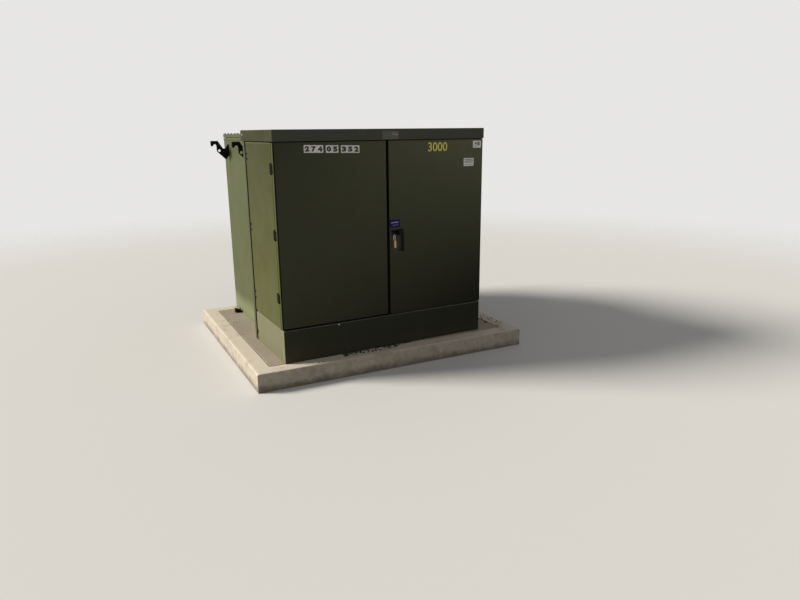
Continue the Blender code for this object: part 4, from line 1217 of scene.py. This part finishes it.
def ringOf(mesh, place, axis, radius, thick, steps=36, sectionSteps=8):
    side, up, along = acrossAxis(axis)
    rings = []
    for n in range(steps):
        out = circle(Vector((0, 0, 0)), side, up, 1, steps)[n]
        rings.append(circle(place + out * radius, out, along, thick, sectionSteps))
    made = loft(mesh, rings, caps=False)
    for k in range(sectionSteps):
        mesh.faces.new((made[-1][k - 1], made[-1][k], made[0][k], made[0][k - 1]))


def makeGauge():
    place, depth, face = at(*platePlace("level_gauge")), gauge["depth"], gauge["face"]
    mesh = bmesh.new()
    turned(mesh, place - Vector((0, 0.0003, 0)), towardsFront, gauge["case"], 48)
    ringOf(mesh, place - Vector((0, depth - 0.001, 0)), towardsFront, gauge["bezel"], gauge["bezelThick"], 48)
    addPiece("gaugeCase", mesh, "epoxy", stands=["level_gauge"], smooth=40)
    turnedPiece("gaugeFace", place - Vector((0, depth - 0.0022, 0)), [[(face, 0), (face, 0.0006)]], 48,
                "tileWhite", smooth=40)
    mesh = bmesh.new()
    for angle in evenSteps(210, -30, gauge["ticks"]):
        for k in range(5):
            dot = around(place, angle, face * (0.70 + 0.045 * k), depth - 0.0012)
            turned(mesh, dot, towardsFront, [(0.0011, 0), (0.0009, 0.0003)], 8)
    needle = [place + Vector((x, 0.0006 - depth, z)) for x, z in gauge["needle"]]
    tube(mesh, needle, gauge["needleThick"], 8)
    turned(mesh, place - Vector((0, depth - 0.0014, 0)), towardsFront, [(0.0042, 0), (0.0036, 0.0016)], 20)
    addPiece("gaugeMarks", mesh, "digitBlack", smooth=40)


def makeValve():
    place = at(*platePlace("drain_valve")) - Vector((0, 0.0003, 0))
    mesh = bmesh.new()
    turned(mesh, place, towardsFront, valve["body"], 32)
    turned(mesh, place - Vector((0, valve["nutOut"], 0)), towardsFront, valve["nut"], 6)
    turned(mesh, place - Vector((0, valve["outletOut"], 0)), (0, 0, -1), valve["outlet"], 24)
    addPiece("drainValve", mesh, "brass", stands=["drain_valve"], smooth=35)
    mesh = bmesh.new()
    hub = place - Vector((0, valve["wheelOut"], 0))
    ringOf(mesh, hub, towardsFront, valve["wheel"], valve["wheelThick"])
    turned(mesh, hub + Vector((0, 0.006, 0)), towardsFront, valve["hub"], 20)
    for n in range(4):
        tube(mesh, [around(hub, 45 + 90 * n, far) for far in (0.006, 0.031)], 0.0032, 8)
    addPiece("valveWheel", mesh, "blackSmall", slot="black_paint", smooth=40)


def makeTapChanger():
    place = at(*platePlace("tap_changer")) - Vector((0, 0.0003, 0))
    mesh = bmesh.new()
    turned(mesh, place, towardsFront, tapChanger["body"], 36)
    block(mesh, *(place + Vector(end) for end in tapChanger["knob"]), 0.003)
    addPiece("tapChanger", mesh, "brightSteel", stands=["tap_changer"], smooth=35)
    mesh = bmesh.new()
    for n in range(tapChanger["marks"]):
        dot = around(place, 60 + 15 * n, tapChanger["markCircle"], -0.0003)
        turned(mesh, dot, towardsFront, [(0.0030, 0), (0.0026, 0.0008)], 12)
    addPiece("tapMarks", mesh, "tileWhite", smooth=40)


# Rating plate left without words, ground pads, and the copper strap from the first spade to its ground pad
ratingPlate = {"left": 1.300, "low": 1.420, "wide": 0.150, "tall": 0.110, "rows": 6, "rivetInset": 0.006,
               "rivet": [(0.0026, 0), (0.0022, 0.0010), (0.0010, 0.0015)]}
grounds = {"places": (0.100, cabinetWidth - 0.100, cabinetMiddle + 0.090), "wide": 0.090, "low": 0.330,
           "high": 0.380, "thick": 0.012, "boltOut": 0.022, "boltSize": 0.0085}
strap = {"width": 0.025, "thick": 0.0024, "besideSpade": 0.0085, "steps": 6}


def makePlates():
    face, r, g = plateLow.y, ratingPlate, grounds
    right, top = r["left"] + r["wide"], r["low"] + r["tall"]
    faceCard("ratingPlate", r["left"], right, r["low"], top, face - 0.0003, 0.0010, "brightSteel", "root",
             0.004)
    bars = []
    for n, z in enumerate(evenSteps(r["low"] + 0.016, top - 0.018, r["rows"])):
        bars.append(((r["left"] + 0.014, face - 0.0015, z),
                     (r["left"] + r["wide"] * (0.90 - 0.12 * (n % 3)), face - 0.0013, z + 0.004), 0))
    addBlocks("ratingBars", bars, "printGrey")
    mesh, inset = bmesh.new(), r["rivetInset"]
    for x in (r["left"] + inset, right - inset):
        for z in (r["low"] + inset, top - inset):
            turned(mesh, at(x, face - 0.0013, z), towardsFront, r["rivet"], 12)
    addPiece("ratingRivets", mesh, "zincSteel")
    mesh = bmesh.new()
    half, front, middle = g["wide"] / 2, face - g["thick"], (g["low"] + g["high"]) / 2
    for x in g["places"]:
        block(mesh, at(x - half, front, g["low"]), at(x + half, face - 0.0004, g["high"]), 0.002)
        for side in (-1, 1):
            hexBolt(mesh, at(x + side * g["boltOut"], front, middle), towardsFront, g["boltSize"])
    addPiece("groundPadsInside", mesh, "zincSteel", smooth=30)


def makeStrap():
    low, high = localBox("lv_bushing_1")
    x, end = (low.x + high.x) / 2 + strap["besideSpade"], grounds["places"][2]
    face, per = plateLow.y, strap["steps"]
    route = [(x, low.y + 0.050, low.z + 0.03), (x, low.y + 0.048, low.z - 0.06),
             (x, low.y + 0.075, low.z - 0.16), ((x + end) / 2, face - 0.050, 0.72),
             (end + 0.004, face - 0.022, 0.50), (end, face - 0.0165, 0.40), (end, face - 0.0150, 0.335)]
    last = len(route) - 1
    rings = []
    for n in range(last * per + 1):
        k = min(n // per, last - 1)
        share = (n - per * k) / per
        a, b, c, d = (Vector(route[max(0, min(last, k + shift))]) for shift in (-1, 0, 1, 2))
        middle = 0.5 * ((2 * b) + (c - a) * share + (2 * a - 5 * b + 4 * c - d) * share ** 2
                        + (3 * b - a - 3 * c + d) * share ** 3)
        turn = min(1, max(0, (n / 6 - 1.2) / 2.2))
        angle = math.radians(90 * (1 - turn * turn * (3 - 2 * turn)))
        wide = Vector((math.cos(angle), math.sin(angle), 0)) * strap["width"] / 2
        thick = Vector((-math.sin(angle), math.cos(angle), 0)) * strap["thick"] / 2
        rings.append([at(*(middle + wide * across + thick * deep))
                      for across, deep in ((1, 1), (-1, 1), (-1, -1), (1, -1))])
    mesh = bmesh.new()
    loft(mesh, rings)
    addPiece("groundStrap", mesh, "copper", smooth=50)


for count in (1, 2, 3):
    makeHighBushing(count)
for count in (1, 2, 3, 4):
    makeLowBushing(count)
makeGauge()
makeValve()
makeTapChanger()
makePlates()
makeStrap()
print("compartments fitted")


# Floor that fades into the pale backdrop, and soft studio light from the left and behind
studio = {
    "floor": (0.66, 0.65, 0.635), "bounce": (0.30, 0.27, 0.23), "backdrop": (0.80, 0.795, 0.785),
    "skyStrength": 0.23, "fadeFrom": 5.0, "fadeTo": 11.0,
    "sunFrom": (-0.80, 0.40, 0.52), "sunSoftness": 18, "sunStrength": 4.9, "sunColour": (1.0, 0.955, 0.87),
    "fillPlace": (1.5, -8.5, 4.2), "fillAim": (0.0, -0.4, 0.8), "fillSize": 6.0, "fillPower": 32,
    "fillColour": (0.97, 0.98, 1.0),
}


def shownRay():
    # True for the rays that see the backdrop and the floor, false for those that light the object
    path = tree.nodes.new("ShaderNodeLightPath")
    glossy, through = path.outputs["Is Glossy Ray"], path.outputs["Is Transmission Ray"]
    return maths("MAXIMUM", path.outputs["Is Camera Ray"], maths("MAXIMUM", glossy, through))


def mixShaders(factor, first, second, output):
    joined = tree.nodes.new("ShaderNodeMixShader")
    for socket, value in enumerate((factor, first, second)):
        tree.links.new(value, joined.inputs[socket])
    tree.links.new(joined.outputs[0], tree.nodes[output].inputs["Surface"])


def makeFloor():
    mesh = bmesh.new()
    bmesh.ops.create_circle(mesh, cap_ends=True, radius=studio["fadeTo"] + 1, segments=96)
    data = bpy.data.meshes.new("floor")
    mesh.to_mesh(data)
    mesh.free()
    floor = bpy.data.objects.new("floor", data)
    floor.location = (0, 0, -0.0005)
    bpy.context.scene.collection.objects.link(floor)
    startMaterial("paleFloor", 0.85)
    endMaterial(Base_Color=mixColour(shownRay(), studio["bounce"], studio["floor"]))
    far = addNode("VectorMath", {0: objectPlace()}, "Value", operation="LENGTH")
    fade = addNode("MapRange", {"Value": far, "From Min": studio["fadeFrom"], "From Max": studio["fadeTo"]},
                   interpolation_type="SMOOTHSTEP")
    mixShaders(fade, shader.outputs[0], addNode("BsdfTransparent", {}), "Material Output")
    data.materials.append(material)


def addLight(name, kind, power, colour, turn, place=(0, 0, 0), **settings):
    data = bpy.data.lights.new(name, kind)
    data.energy, data.color = power, colour
    for key, value in settings.items():
        setattr(data, key, value)
    light = bpy.data.objects.new(name, data)
    light.location, light.rotation_euler = place, turn.to_euler()
    bpy.context.scene.collection.objects.link(light)


def makeStudio():
    global tree
    world = bpy.data.worlds.new("studio")
    bpy.context.scene.world = world
    world.use_nodes = True
    tree = world.node_tree
    lit = tree.nodes["Background"]
    lit.inputs["Color"].default_value = (1, 1, 1, 1)
    lit.inputs["Strength"].default_value = studio["skyStrength"]
    seen = addNode("Background", {"Color": (*studio["backdrop"], 1)})
    mixShaders(shownRay(), lit.outputs[0], seen, "World Output")
    addLight("sun", "SUN", studio["sunStrength"], studio["sunColour"],
             Vector(studio["sunFrom"]).to_track_quat("Z", "Y"), angle=math.radians(studio["sunSoftness"]))
    place, aim = Vector(studio["fillPlace"]), Vector(studio["fillAim"])
    addLight("fill", "AREA", studio["fillPower"], studio["fillColour"],
             (aim - place).to_track_quat("-Z", "Y"), place, size=studio["fillSize"])


makeFloor()
makeStudio()
print("studio made")
